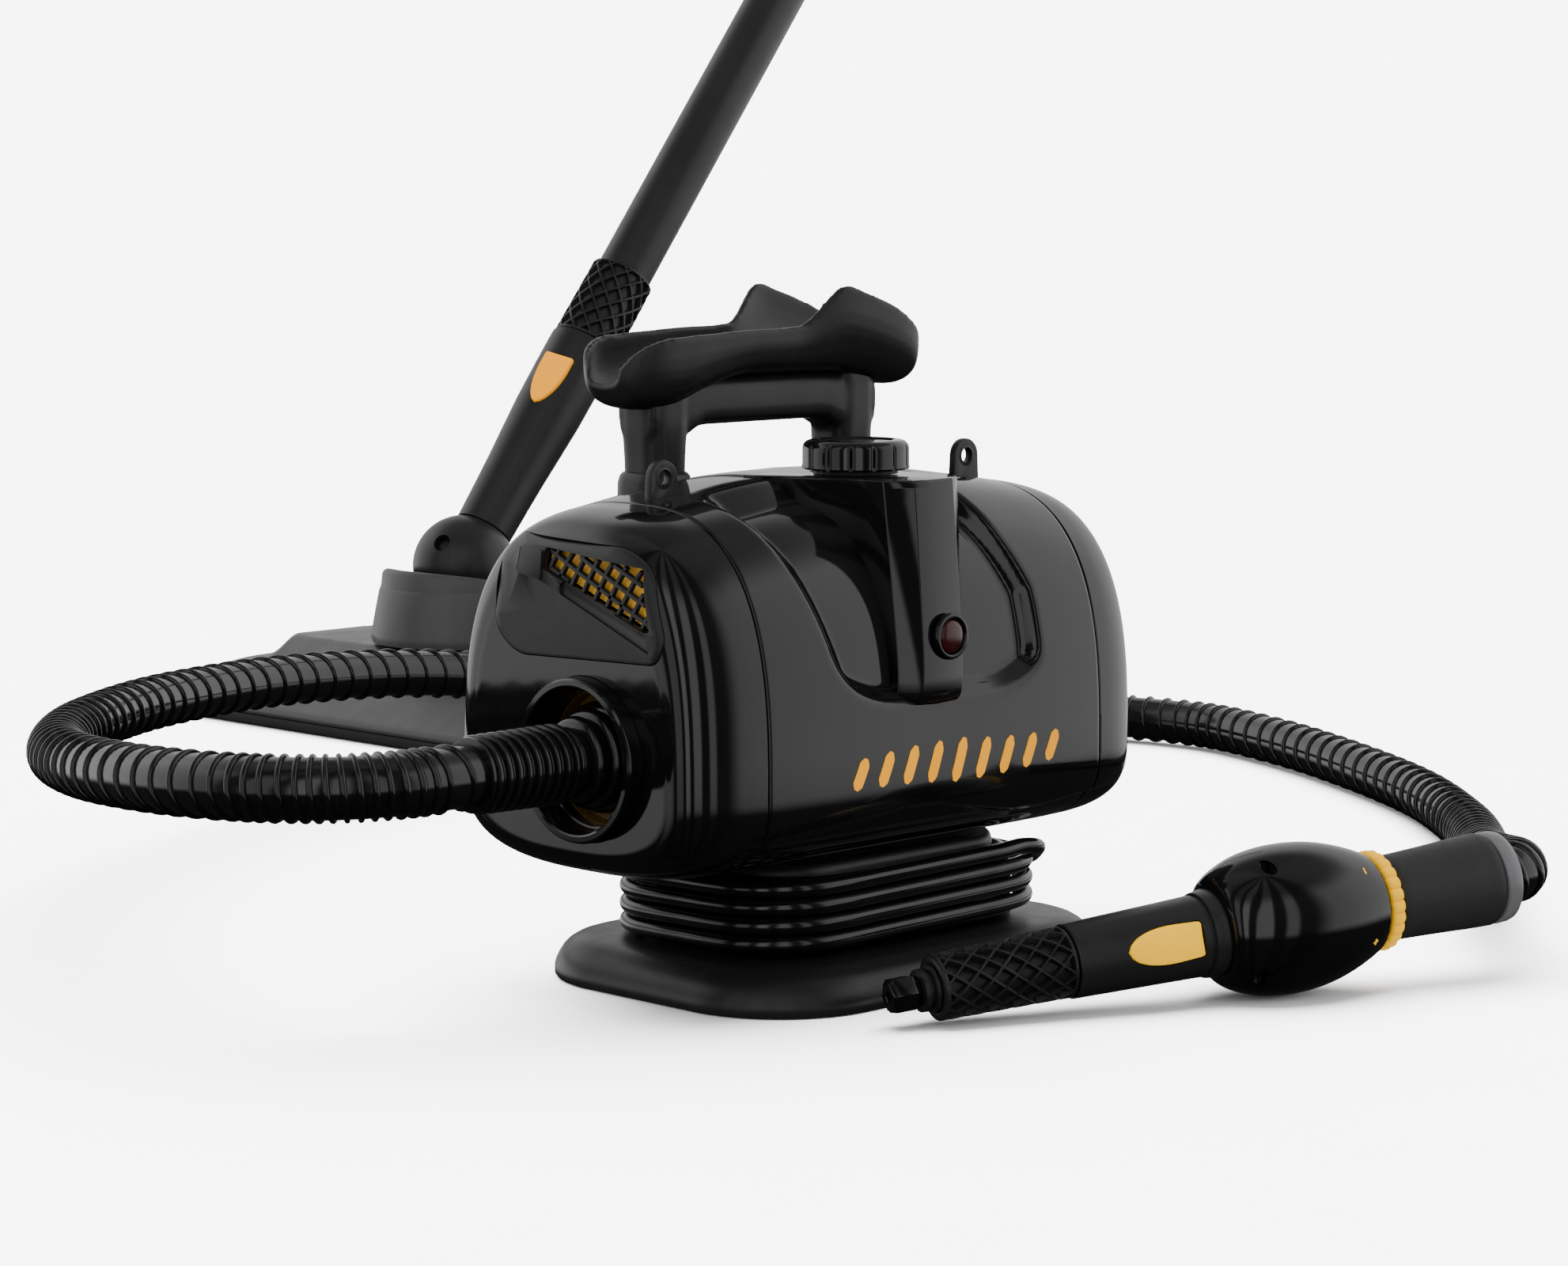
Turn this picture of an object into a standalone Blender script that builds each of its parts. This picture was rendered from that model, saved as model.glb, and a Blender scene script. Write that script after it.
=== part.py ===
"""Steam cleaner for commercial use: canister, hose with steam gun, floor head on a wand.

Metres, +Z up. The origin is the centre of the base plate's underside.
The front face looks to -Y and the end face with the hose port looks to -X.
"""
import math

import bmesh
import bpy
from mathutils import Matrix, Vector

GAP = 0.0003

# Base plate and neck
PLATE_X, PLATE_Y, PLATE_R, PLATE_H = 0.127, 0.0930, 0.057, 0.020
NECK_X, NECK_Y, NECK_R = 0.084, 0.050, 0.034
NECK_TOP = 0.0612
WIND_X, WIND_Y, WIND_R = 0.1015, 0.0675, 0.045

# Canister body
CENTRE_X = -0.0165
BODY_X = 0.153
SEAM_X = 0.113
BODY_Y = 0.0930
BODY_MID = 0.105
BODY_UP = 0.1370
BODY_DOWN = 0.0430
BODY_POWER = 2.8
WALL = 0.0030
# (distance from the middle, half depth, top height and bottom height as parts of the full size)
END_STEPS = ((0.000, 1.0, 1.0, 1.0), (0.045, 1.0, 0.990, 1.0), (0.085, 0.988, 0.955, 1.0), (0.113, 0.965, 0.925, 1.0),
             (0.128, 0.940, 0.908, 0.985), (0.140, 0.895, 0.880, 0.940), (0.148, 0.835, 0.835, 0.870),
             (0.152, 0.765, 0.780, 0.790), (0.153, 0.690, 0.715, 0.700))

# Filler boss, cap and lamp
BOSS_X, BOSS_TOP, BOSS_LOW = -0.019, 0.2415, 0.137
BOSS_HALF = 0.0185
CAP_Y, CAP_R, CAP_TOP = -0.036, 0.0255, 0.2575
LAMP_Z = 0.1695

# Handle and tool cradle
HANDLE_Y = 0.045
HANDLE_X = -0.0090
POST_X = 0.0635
BAR_LOW, BAR_TOP = 0.2620, 0.2860

# Hose port
PORT_Y, PORT_Z = -0.012, 0.119
PORT_R = 0.0378

# Hose and mains cable
HOSE_D = 0.031
CABLE_D = 0.0080

# Steam gun, measured along its axis from the nozzle tip
GUN_TIP = Vector((-0.0910, -0.1260, 0.0150))
GUN_AXIS = Vector((0.3000, -0.1220, 0.0330)).normalized()

# Floor head and wand
HEAD = Vector((0.431, 0.777, 0.0))
HEAD_X, HEAD_Y, HEAD_R = 0.130, 0.225, 0.065
BALL = HEAD + Vector((0.0, 0.0, 0.1080))
LEAN = math.radians(37.5)
WAND_AXIS = Vector((math.sin(LEAN), 0.0, math.cos(LEAN)))
WAND_END = 1.050

HOSE_ROUTE = (
    (-0.2390, -0.0120, 0.1190), (-0.2560, -0.0120, 0.1190), (-0.2800, -0.0090, 0.1190), (-0.3060, 0.0080, 0.1185),
    (-0.3250, 0.0450, 0.1175), (-0.3260, 0.1050, 0.1145), (-0.3020, 0.1900, 0.1085), (-0.2460, 0.2900, 0.1000),
    (-0.1600, 0.3900, 0.0930), (-0.0450, 0.4750, 0.0880), (0.0900, 0.5300, 0.0820), (0.2200, 0.5450, 0.0720),
    (0.3500, 0.5180, 0.0520), (0.4700, 0.4880, 0.0300), (0.5800, 0.4600, 0.0175), (0.6600, 0.4150, 0.0160),
    (0.6850, 0.3300, 0.0160), (0.6620, 0.2450, 0.0160), (0.6150, 0.1500, 0.0160), (0.5480, 0.0450, 0.0160),
    (0.4600, -0.0500, 0.0180), (0.3600, -0.1300, 0.0270), (0.2860, -0.1850, 0.0380), (0.2430, -0.2250, 0.0455),
    (0.2255, -0.2430, 0.0485), (0.2150, -0.2490, 0.0488), (0.2077, -0.2475, 0.0479), (0.2040, -0.2460, 0.0475),
)


def clear():
    for item in list(bpy.data.objects):
        bpy.data.objects.remove(item, do_unlink=True)


def material(name, colour, rough, metal=0.0, coat=0.0, alpha=1.0):
    made = bpy.data.materials.new(name)
    made.use_nodes = True
    shader = made.node_tree.nodes["Principled BSDF"]
    shader.inputs["Base Color"].default_value = (*colour, 1.0)
    shader.inputs["Roughness"].default_value = rough
    shader.inputs["Metallic"].default_value = metal
    shader.inputs["Coat Weight"].default_value = coat
    shader.inputs["Alpha"].default_value = alpha
    return made


def smooth(t):
    t = min(1.0, max(0.0, t))
    return t * t * (3.0 - 2.0 * t)


def solid(name, mesh, mat, round_look=True):
    bmesh.ops.recalc_face_normals(mesh, faces=mesh.faces)
    data = bpy.data.meshes.new(name)
    mesh.to_mesh(data)
    mesh.free()
    made = bpy.data.objects.new(name, data)
    bpy.context.collection.objects.link(made)
    data.materials.append(mat)
    if round_look:
        data.shade_smooth()
        data.set_sharp_from_angle(angle=math.radians(35))
    return made


def skin(mesh, rings, loop=False):
    """Joins rings of equal length; open stacks are capped at both ends."""
    rows = [[mesh.verts.new(p) for p in ring] for ring in rings]
    count = len(rows[0])
    last = len(rows) if loop else len(rows) - 1
    for i in range(last):
        a, b = rows[i], rows[(i + 1) % len(rows)]
        for j in range(count):
            k = (j + 1) % count
            mesh.faces.new((a[j], a[k], b[k], b[j]))
    if not loop:
        mesh.faces.new(rows[0])
        mesh.faces.new(list(reversed(rows[-1])))


def stack(name, rings, mat, loop=False, round_look=True):
    mesh = bmesh.new()
    skin(mesh, rings, loop)
    return solid(name, mesh, mat, round_look)


def frame_of(axis):
    axis = Vector(axis).normalized()
    side = axis.cross(Vector((0, 0, 1)))
    side = Vector((0, 1, 0)) if side.length < 1e-6 else side.normalized()
    return axis, side, side.cross(axis).normalized()


def turned(mesh, profile, origin, axis, count=24, loop=False, squash=1.0, spin=0.0):
    """Solid of revolution from (distance along the axis, radius) pairs."""
    axis, side, up = frame_of(axis)
    origin = Vector(origin)
    rings = []
    for s, r in profile:
        ring = []
        for j in range(count):
            a = 2 * math.pi * (j + 0.5 + spin) / count
            ring.append(origin + axis * s + side * (r * math.cos(a)) + up * (r * squash * math.sin(a)))
        rings.append(ring)
    skin(mesh, rings, loop)


def lathe(name, profile, origin, axis, mat, count=24, loop=False, squash=1.0, spin=0.0):
    mesh = bmesh.new()
    turned(mesh, profile, origin, axis, count, loop, squash, spin)
    return solid(name, mesh, mat)


def tube_profile(s0, s1, outer, inner):
    return ((s0, outer), (s1, outer), (s1, inner), (s0, inner))


def rounded(hx, hy, r, z, per_corner=5, centre=(0.0, 0.0)):
    ring = []
    for cx, cy, start in ((hx - r, hy - r, 0), (r - hx, hy - r, 90), (r - hx, r - hy, 180), (hx - r, r - hy, 270)):
        for i in range(per_corner):
            a = math.radians(start + 90 * i / (per_corner - 1))
            ring.append(Vector((centre[0] + cx + r * math.cos(a), centre[1] + cy + r * math.sin(a), z)))
    return ring


def box(mesh, low, high):
    (x0, y0, z0), (x1, y1, z1) = low, high
    skin(mesh, [[Vector((x, y, z)) for x, y in ((x0, y0), (x1, y0), (x1, y1), (x0, y1))] for z in (z0, z1)])


def cut(target, cutter, how="DIFFERENCE"):
    cutter.hide_render = True
    cutter.display_type = "WIRE"
    mod = target.modifiers.new("cut_" + cutter.name, "BOOLEAN")
    mod.operation = how
    mod.solver = "EXACT"
    mod.object = cutter
    return mod


def settle(target, cutters):
    """Works the cuts into the mesh and clears the cutters away."""
    graph = bpy.context.evaluated_depsgraph_get()
    data = bpy.data.meshes.new_from_object(target.evaluated_get(graph))
    target.modifiers.clear()
    target.data = data
    target.data.shade_smooth()
    target.data.set_sharp_from_angle(angle=math.radians(35))
    for cutter in cutters:
        bpy.data.objects.remove(cutter, do_unlink=True)


# ---------------------------------------------------------------- body surface
def dish(x, y, z):
    """Depth of the smooth dish round the boss on the front and top."""
    if y > 0.0:
        return 0.0
    across = smooth((x + 0.092) / 0.014) * smooth((0.066 - x) / 0.014)
    rise = smooth((z - 0.138) / 0.016)
    back = smooth((-0.018 - y) / 0.020)
    return 0.0095 * across * rise * back


def body_factors(x):
    """Half depth, top and bottom factors at a distance from the body's middle."""
    x = abs(x)
    for low, high in zip(END_STEPS, END_STEPS[1:]):
        if x <= high[0]:
            t = (x - low[0]) / (high[0] - low[0])
            return [a + (b - a) * t for a, b in zip(low[1:], high[1:])]
    return END_STEPS[-1][1:]


def body_ring(x, grow=0.0, place=None, count=32, dished=True):
    """Section of the body at x from its middle, standing at place along X when that is given."""
    depth, top, bottom = body_factors(x)
    stands = CENTRE_X + (x if place is None else place)
    ring = []
    for j in range(count):
        a = 2 * math.pi * (j + 0.5) / count
        c, s = math.cos(a), math.sin(a)
        height = BODY_UP * top if s > 0 else BODY_DOWN * bottom
        y = math.copysign(abs(c) ** (2 / BODY_POWER), c) * (BODY_Y * depth + grow)
        z = math.copysign(abs(s) ** (2 / BODY_POWER), s) * (height + grow)
        p = Vector((stands, y, BODY_MID + z))
        if dished:
            inward = Vector((0, -p.y, 0.130 - p.z)).normalized()
            p += inward * dish(stands, y, BODY_MID + z)
        ring.append(p)
    return ring


ACROSS = (-0.078, -0.064, -0.036, 0.014, 0.066, 0.080)


def body_block(name, grow, mat, dished=True):
    """Closed block of the whole body, used to trim what stands on it."""
    ends = [x for x, *_ in END_STEPS if x >= 0.085]
    xs = [-x for x in reversed(ends)] + list(ACROSS) + ends
    rings = []
    for x in xs:
        reach = x + (grow if x > 0 else -grow) if abs(x) == BODY_X else x
        rings.append(body_ring(x, grow, reach, dished=dished))
    return stack(name, rings, mat)


def end_shell(name, sign, mat):
    seam = SEAM_X + GAP / 2
    steps = [x for x, *_ in END_STEPS if x > SEAM_X]
    outer = [body_ring(sign * seam)] + [body_ring(sign * x) for x in steps]
    inner = [body_ring(sign * x, -WALL, sign * (x - WALL)) for x in reversed(steps[1:])]
    inner.append(body_ring(sign * seam, -WALL))
    mesh = bmesh.new()
    rows = [[mesh.verts.new(p) for p in ring] for ring in outer]
    back = [[mesh.verts.new(p) for p in ring] for ring in inner]
    count = len(rows[0])
    for group in (rows, back):
        for a, b in zip(group, group[1:]):
            for j in range(count):
                k = (j + 1) % count
                mesh.faces.new((a[j], a[k], b[k], b[j]))
    mesh.faces.new(rows[-1])
    mesh.faces.new(back[0])
    for j in range(count):
        k = (j + 1) % count
        mesh.faces.new((rows[0][j], rows[0][k], back[-1][k], back[-1][j]))
    return solid(name, mesh, mat)


clear()

gloss_black = material("gloss_black_plastic", (0.012, 0.012, 0.013), 0.14, coat=0.6)
satin_black = material("satin_black_plastic", (0.020, 0.020, 0.021), 0.42)
soft_black = material("soft_black_grip", (0.030, 0.030, 0.031), 0.70)
grey_plastic = material("grey_collar_plastic", (0.20, 0.20, 0.21), 0.35)
dark_grey = material("dark_grey_plastic", (0.035, 0.035, 0.037), 0.40)
yellow = material("yellow_plastic", (0.90, 0.52, 0.02), 0.35)
amber = material("amber_mesh_plastic", (0.72, 0.36, 0.05), 0.55)
red_lens = material("red_lens", (0.25, 0.012, 0.010), 0.15)
rubber = material("black_rubber", (0.018, 0.018, 0.018), 0.65)
steel = material("steel", (0.55, 0.55, 0.56), 0.30, metal=1.0)
cast = material("cast_aluminium", (0.62, 0.62, 0.63), 0.45, metal=1.0)
brass = material("brass", (0.72, 0.52, 0.24), 0.30, metal=1.0)

# ---------------------------------------------------------------- base and neck
plate_rings = [
    rounded(PLATE_X, PLATE_Y, PLATE_R, 0.0),
    rounded(PLATE_X, PLATE_Y, PLATE_R, 0.0060),
    rounded(PLATE_X - 0.003, PLATE_Y - 0.003, PLATE_R - 0.003, 0.0125),
    rounded(PLATE_X - 0.009, PLATE_Y - 0.009, PLATE_R - 0.009, 0.0175),
    rounded(PLATE_X - 0.017, PLATE_Y - 0.017, PLATE_R - 0.017, PLATE_H),
]
base_plate = stack("base_plate", plate_rings, satin_black)
pockets = bmesh.new()
for index, (px, py) in enumerate(((-0.088, -0.056), (0.088, -0.056), (-0.088, 0.056), (0.088, 0.056))):
    lathe(f"foot_pad_{index + 1}", ((0.0, 0.0085), (0.0027, 0.0085)), (px, py, 0.0), (0, 0, 1), rubber, 16)
    turned(pockets, ((-0.001, 0.0088), (0.0030, 0.0088)), (px, py, 0.0), (0, 0, 1), 16)
pad_cut = solid("pad_pockets", pockets, rubber)
cut(base_plate, pad_cut)
settle(base_plate, [pad_cut])

stack("neck_pedestal", [
    rounded(NECK_X, NECK_Y, NECK_R, z, 6) for z in (PLATE_H + GAP, NECK_TOP - 0.004, NECK_TOP)
], satin_black)

WIND_LOW, WIND_HIGH = PLATE_H + 2 * GAP, 0.0580
stack("mains_cord_winding", [
    rounded(WIND_X - 0.004, WIND_Y - 0.004, WIND_R - 0.004, WIND_LOW, 6),
    rounded(WIND_X, WIND_Y, WIND_R, WIND_LOW + 0.004, 6),
    rounded(WIND_X, WIND_Y, WIND_R, WIND_HIGH - 0.006, 6),
    rounded(WIND_X - 0.004, WIND_Y - 0.004, WIND_R - 0.004, WIND_HIGH, 6),
    rounded(NECK_X + GAP, NECK_Y + GAP, NECK_R + GAP, WIND_HIGH, 6),
    rounded(NECK_X + GAP, NECK_Y + GAP, NECK_R + GAP, WIND_LOW, 6),
], rubber, loop=True)

# ---------------------------------------------------------------- body shells
left_end = end_shell("left_end_shell", -1, gloss_black)
right_end = end_shell("right_end_shell", 1, gloss_black)

seam_in = SEAM_X - GAP / 2
columns = (-seam_in, -0.092) + ACROSS + (0.092, seam_in)
centre_shell = stack("centre_shell", [body_ring(x) for x in columns], gloss_black)
hollow = (-SEAM_X - 0.008,) + ACROSS + (SEAM_X + 0.008,)
cavity = stack("cavity", [body_ring(x, -WALL) for x in hollow], gloss_black)


def boss_plan(z, front, flare_left, flare_right, half):
    x, y = BOSS_X, front
    return [Vector(p) for p in (
        (x - half, y + 0.005, z), (x - half + 0.004, y + 0.001, z), (x, y, z), (x + half - 0.004, y + 0.001, z),
        (x + half, y + 0.005, z), (x + half + flare_right, -0.048, z), (x + half + flare_right, 0.000, z),
        (x - half - flare_left, 0.000, z), (x - half - flare_left, -0.048, z),
    )]


boss = stack("boss_block", [
    boss_plan(BOSS_LOW, -0.0885, 0.0, 0.0, BOSS_HALF - 0.006),
    boss_plan(BOSS_LOW + 0.004, -0.0955, 0.0, 0.0, BOSS_HALF - 0.001),
    boss_plan(BOSS_LOW + 0.012, -0.0965, 0.002, 0.001, BOSS_HALF),
    boss_plan(0.200, -0.0915, 0.014, 0.008, BOSS_HALF),
    boss_plan(BOSS_TOP - 0.001, -0.0866, 0.032, 0.018, BOSS_HALF),
    boss_plan(BOSS_TOP, -0.0856, 0.031, 0.017, BOSS_HALF - 0.001),
], gloss_black)
bore_tools = bmesh.new()
turned(bore_tools, ((0.150, 0.0175), (0.260, 0.0175)), (BOSS_X, CAP_Y, 0.0), (0, 0, 1), 24)
turned(bore_tools, ((-0.120, 0.0093), (-0.060, 0.0093)), (BOSS_X, 0.0, LAMP_Z), (0, 1, 0), 20)
bores = solid("boss_bores", bore_tools, gloss_black)
cut(centre_shell, boss, "UNION")
cut(centre_shell, cavity)
cut(centre_shell, bores)
settle(centre_shell, [boss, cavity, bores])

# ---------------------------------------------------------------- left end: vent cover and hose port
VENT = ((0.048, 0.2090), (0.040, 0.2160), (-0.034, 0.2110), (-0.048, 0.2020),
        (-0.0590, 0.1760), (-0.0540, 0.1660), (0.034, 0.1640), (0.049, 0.1740))
WINDOW = ((0.020, 0.2070), (-0.038, 0.2020), (-0.0500, 0.1770))


def end_prism(outline, x0, x1, grow=0.0):
    cy = sum(p[0] for p in outline) / len(outline)
    cz = sum(p[1] for p in outline) / len(outline)
    rings = []
    for x in (x0, x1):
        ring = []
        for y, z in outline:
            d = Vector((y - cy, z - cz)).normalized() * grow
            ring.append(Vector((x, y + d[0], z + d[1])))
        rings.append(ring)
    return rings


mesh = bmesh.new()
skin(mesh, end_prism(VENT, -0.140, -0.200, 0.0))
turned(mesh, ((0.140, PORT_R + GAP), (0.200, PORT_R + GAP)), (0, PORT_Y, PORT_Z), (-1, 0, 0), 32)
openings = solid("left_end_openings", mesh, gloss_black)
cut(left_end, openings)
settle(left_end, [openings])

vent = stack("left_vent_cover", end_prism(VENT, -0.1450, -0.1850, -GAP), satin_black)
mesh = bmesh.new()
skin(mesh, end_prism(WINDOW, -0.140, -0.200))
window = solid("vent_window", mesh, satin_black)
cover_limit = body_block("cover_limit", 0.0008, satin_black)
cover_back = body_block("cover_back", -0.0026, satin_black)
cut(vent, cover_limit, "INTERSECT")
cut(vent, cover_back)
cut(vent, window)
settle(vent, [window, cover_limit, cover_back])

stack("vent_screen", end_prism(WINDOW, -0.1360, -0.1380, 0.004), amber, round_look=False)

lathe("hose_port_ring", (
    (0.1480, PORT_R), (0.1765, PORT_R), (0.1780, PORT_R - 0.0015), (0.1780, PORT_R - 0.0040),
    (0.1765, PORT_R - 0.0050), (0.1510, PORT_R - 0.0050), (0.1510, 0.0090), (0.1480, 0.0090),
), (0, PORT_Y, PORT_Z), (-1, 0, 0), gloss_black, 32, loop=True)

# ribbed boot and the bellows sleeve over the hose end
lathe("hose_boot", (
    (0.1513, 0.0255), (0.1680, 0.0255), (0.1780, 0.0240), (0.1860, 0.0200), (0.1890, 0.0182),
    (0.2370, 0.0175), (0.2386, 0.0165), (0.2386, 0.0060), (0.1513, 0.0060),
), (0, PORT_Y, PORT_Z), (-1, 0, 0), rubber, 24, loop=True)

lathe("steam_outlet_pipe", tube_profile(0.0775, 0.1507, 0.0060, 0.0040),
                   (0, PORT_Y, PORT_Z), (-1, 0, 0), brass, 14, loop=True)

# ---------------------------------------------------------------- lamp
front_y = -0.0957
lathe("indicator_bezel", (
    (-0.0120, 0.0090), (0.0003, 0.0090), (0.0003, 0.0108), (0.0022, 0.0108), (0.0032, 0.0098),
    (0.0032, 0.0083), (-0.0120, 0.0083),
), (BOSS_X, front_y, LAMP_Z), (0, -1, 0), satin_black, 20, loop=True)
lathe("indicator_lens", (
    (-0.0080, 0.0080), (0.0020, 0.0080), (0.0036, 0.0066), (0.0042, 0.0036),
), (BOSS_X, front_y, LAMP_Z), (0, -1, 0), red_lens, 20)

# ---------------------------------------------------------------- boiler and fittings inside
lathe("boiler", (
    (-0.085, 0.018), (-0.080, 0.034), (-0.070, 0.040), (0.050, 0.040), (0.060, 0.034), (0.065, 0.018),
), (0.008, 0.014, 0.125), (1, 0, 0), cast, 20)
lathe("heating_element", tube_profile(-0.050, -0.030, 0.0470, 0.0403),
               (0.008, 0.014, 0.125), (1, 0, 0), steel, 20, loop=True)
lathe("filler_neck", tube_profile(0.1800, 0.2405, 0.0171, 0.0148),
                    (BOSS_X, CAP_Y, 0.0), (0, 0, 1), brass, 24, loop=True)
lathe("thermostat", ((0.0, 0.007), (0.012, 0.007)), (0.030, 0.014, 0.1685), (0, 0, 1), steel, 12)
lathe("safety_valve", ((0.0, 0.0055), (0.008, 0.0055), (0.008, 0.0085), (0.020, 0.0085), (0.020, 0.004),
                               (0.028, 0.004)), (0.0735, 0.014, 0.125), (1, 0, 0), brass, 12)

# ---------------------------------------------------------------- handle and tool cradle
# (place along X, outer half width, wall top, underside)
CRADLE = (
    (-0.1055, 0.0120, 0.2900, 0.2810), (-0.1000, 0.0195, 0.2985, 0.2740), (-0.0880, 0.0245, 0.3040, 0.2710),
    (-0.0720, 0.0260, 0.3055, 0.2720), (-0.0520, 0.0262, 0.3065, 0.2790), (-0.0300, 0.0262, 0.3075, 0.2845),
    (-0.0050, 0.0265, 0.3080, 0.2850), (0.0060, 0.0275, 0.3110, 0.2850), (0.0240, 0.0320, 0.3265, 0.2845),
    (0.0400, 0.0330, 0.3235, 0.2840), (0.0620, 0.0320, 0.3160, 0.2800), (0.0780, 0.0290, 0.3070, 0.2770),
    (0.0850, 0.0240, 0.2990, 0.2790), (0.0885, 0.0150, 0.2930, 0.2830),
)
CRADLE_WALL = 0.0035


def cradle_outside(half, top, low, grow=0.0):
    side = ((half + grow, top), (half - 0.0010 + grow, 0.5 * (top + low) + 0.0020),
            (0.62 * half + 0.0020 + grow, low + 0.0018 - grow), (0.0080, low - grow))
    return [(-y, z) for y, z in side] + [(y, z) for y, z in reversed(side)]


def cradle_ring(x, half, top, low):
    floor = low + 0.0040
    side = ((0.0070, floor), (0.5 * half, floor + 0.0020), (half - CRADLE_WALL - 0.0010, 0.5 * (top + floor) + 0.0010),
            (half - CRADLE_WALL, top))
    pts = cradle_outside(half, top, low)
    pts += [(y, z) for y, z in reversed(side)] + [(-y, z) for y, z in side]
    return [Vector((x, HANDLE_Y + y, z)) for y, z in pts]


def post_rings(sign):
    rings = []
    for z, hx, hy in ((0.2100, 0.0115, 0.0125), (0.2400, 0.0118, 0.0128), (BAR_LOW, 0.0128, 0.0138),
                      (BAR_TOP, 0.0130, 0.0138)):
        rings.append(rounded(hx, hy, 0.0070, z, 4, (HANDLE_X + sign * POST_X, HANDLE_Y)))
    return rings


def bar_ring(x, low):
    half = (BAR_TOP - low) / 2
    ring = []
    for j in range(16):
        a = 2 * math.pi * (j + 0.5) / 16
        c, s = math.cos(a), math.sin(a)
        y = math.copysign(abs(c) ** 0.6, c) * 0.0132
        z = math.copysign(abs(s) ** 0.6, s) * half
        ring.append(Vector((HANDLE_X + x, HANDLE_Y + y, low + half + z)))
    return ring


stack("tool_cradle", [cradle_ring(*row) for row in CRADLE], satin_black)
under_cradle = stack("under_cradle", [
    [Vector((x, HANDLE_Y + y, z)) for y, z in cradle_outside(half, top, low, GAP)] for x, half, top, low in CRADLE
], satin_black)
handle = stack("handle", post_rings(-1), satin_black)
other = stack("other_post", post_rings(1), satin_black)
bar_steps = [(POST_X, BAR_LOW - 0.0060), (POST_X - 0.0140, BAR_LOW - 0.0050), (POST_X - 0.0190, BAR_LOW - 0.0015),
             (POST_X - 0.0260, BAR_LOW)]
bar_rows = [bar_ring(-x, low) for x, low in bar_steps] + [bar_ring(x, low) for x, low in reversed(bar_steps)]
bar = stack("bar_block", bar_rows, satin_black)
trim = body_block("handle_trim", GAP, satin_black, False)
cut(handle, other, "UNION")
cut(handle, bar, "UNION")
cut(handle, under_cradle)
cut(handle, trim)
settle(handle, [other, bar, under_cradle, trim])


def lug(name, x, y):
    outline = []
    for i in range(9):
        a = math.radians(180 * i / 8)
        outline.append((0.0085 * math.cos(a), 0.2425 + 0.0085 * math.sin(a)))
    outline += [(-0.0100, 0.2150), (0.0100, 0.2150)]
    rings = [[Vector((x + px, y + dy, pz)) for px, pz in outline] for dy in (-0.0020, 0.0020)]
    made = stack(name, rings, satin_black)
    mesh = bmesh.new()
    turned(mesh, ((-0.01, 0.0038), (0.01, 0.0038)), (x, y, 0.2425), (0, 1, 0), 16)
    hole = solid(name + "_hole", mesh, satin_black)
    limit = body_block(name + "_trim", GAP, satin_black, False)
    cut(made, hole)
    cut(made, limit)
    settle(made, [hole, limit])
    return made


lug("strap_lug_left", CENTRE_X - 0.0960, -0.002)
lug("strap_lug_right", CENTRE_X + 0.1160 - 0.0060, -0.002)

# ---------------------------------------------------------------- filler cap
lathe("filler_cap", (
    (0.2250, 0.0120), (0.2438, 0.0120), (0.2438, CAP_R - 0.0010), (0.2446, CAP_R), (CAP_TOP - 0.0030, CAP_R - 0.0008),
    (CAP_TOP - 0.0007, CAP_R - 0.0030), (CAP_TOP, CAP_R - 0.0065),
), (BOSS_X, CAP_Y, 0.0), (0, 0, 1), gloss_black, 36)
lathe("cap_gasket", tube_profile(BOSS_TOP + GAP, 0.2435, 0.0200, 0.0123),
               (BOSS_X, CAP_Y, 0.0), (0, 0, 1), rubber, 24, loop=True)

# ---------------------------------------------------------------- mains lead
def tube_curve(name, route, radius, mat, steps, resolution=2):
    """Cord as a bevelled curve through a smooth line of the hand-set route points."""
    pts = [Vector(p) for p in route]
    ends = [pts[0] * 2 - pts[1]] + pts + [pts[-1] * 2 - pts[-2]]
    line = []
    for i in range(1, len(ends) - 2):
        p0, p1, p2, p3 = ends[i - 1:i + 3]
        for k in range(steps):
            t = k / steps
            line.append(0.5 * (2 * p1 + (p2 - p0) * t + (2 * p0 - 5 * p1 + 4 * p2 - p3) * t * t
                               + (3 * p1 - p0 - 3 * p2 + p3) * t ** 3))
    line.append(pts[-1])
    data = bpy.data.curves.new(name, "CURVE")
    data.dimensions = "3D"
    spline = data.splines.new("POLY")
    spline.points.add(len(line) - 1)
    for point, co in zip(spline.points, line):
        point.co = (*co, 1.0)
    data.bevel_depth = radius
    data.bevel_resolution = resolution
    data.use_fill_caps = True
    made = bpy.data.objects.new(name, data)
    bpy.context.collection.objects.link(made)
    data.materials.append(mat)
    return made


lathe("cord_gland", ((0.0910, 0.0085), (0.0935, 0.0085), (0.0955, 0.0070), (0.1050, 0.0055)),
      (0.090, 0.0, 0.095), (0, 1, 0), rubber, 16)
LEAD_ROUTE = (
    (0.0900, 0.1053, 0.0950), (0.0900, 0.1075, 0.0950), (0.0898, 0.1100, 0.0950), (0.0870, 0.1175, 0.0935),
    (0.0780, 0.1250, 0.0880),
    (0.0620, 0.1270, 0.0810), (0.0440, 0.1200, 0.0735), (0.0260, 0.1060, 0.0665), (0.0100, 0.0920, 0.0610),
    (-0.0060, 0.0800, 0.0570), (-0.0180, 0.0735, 0.0530),
)
tube_curve("mains_lead", LEAD_ROUTE, CABLE_D / 2, rubber, 2)
PLUG_X, PLUG_Z = 0.1106, 0.0390
mesh = bmesh.new()
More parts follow.
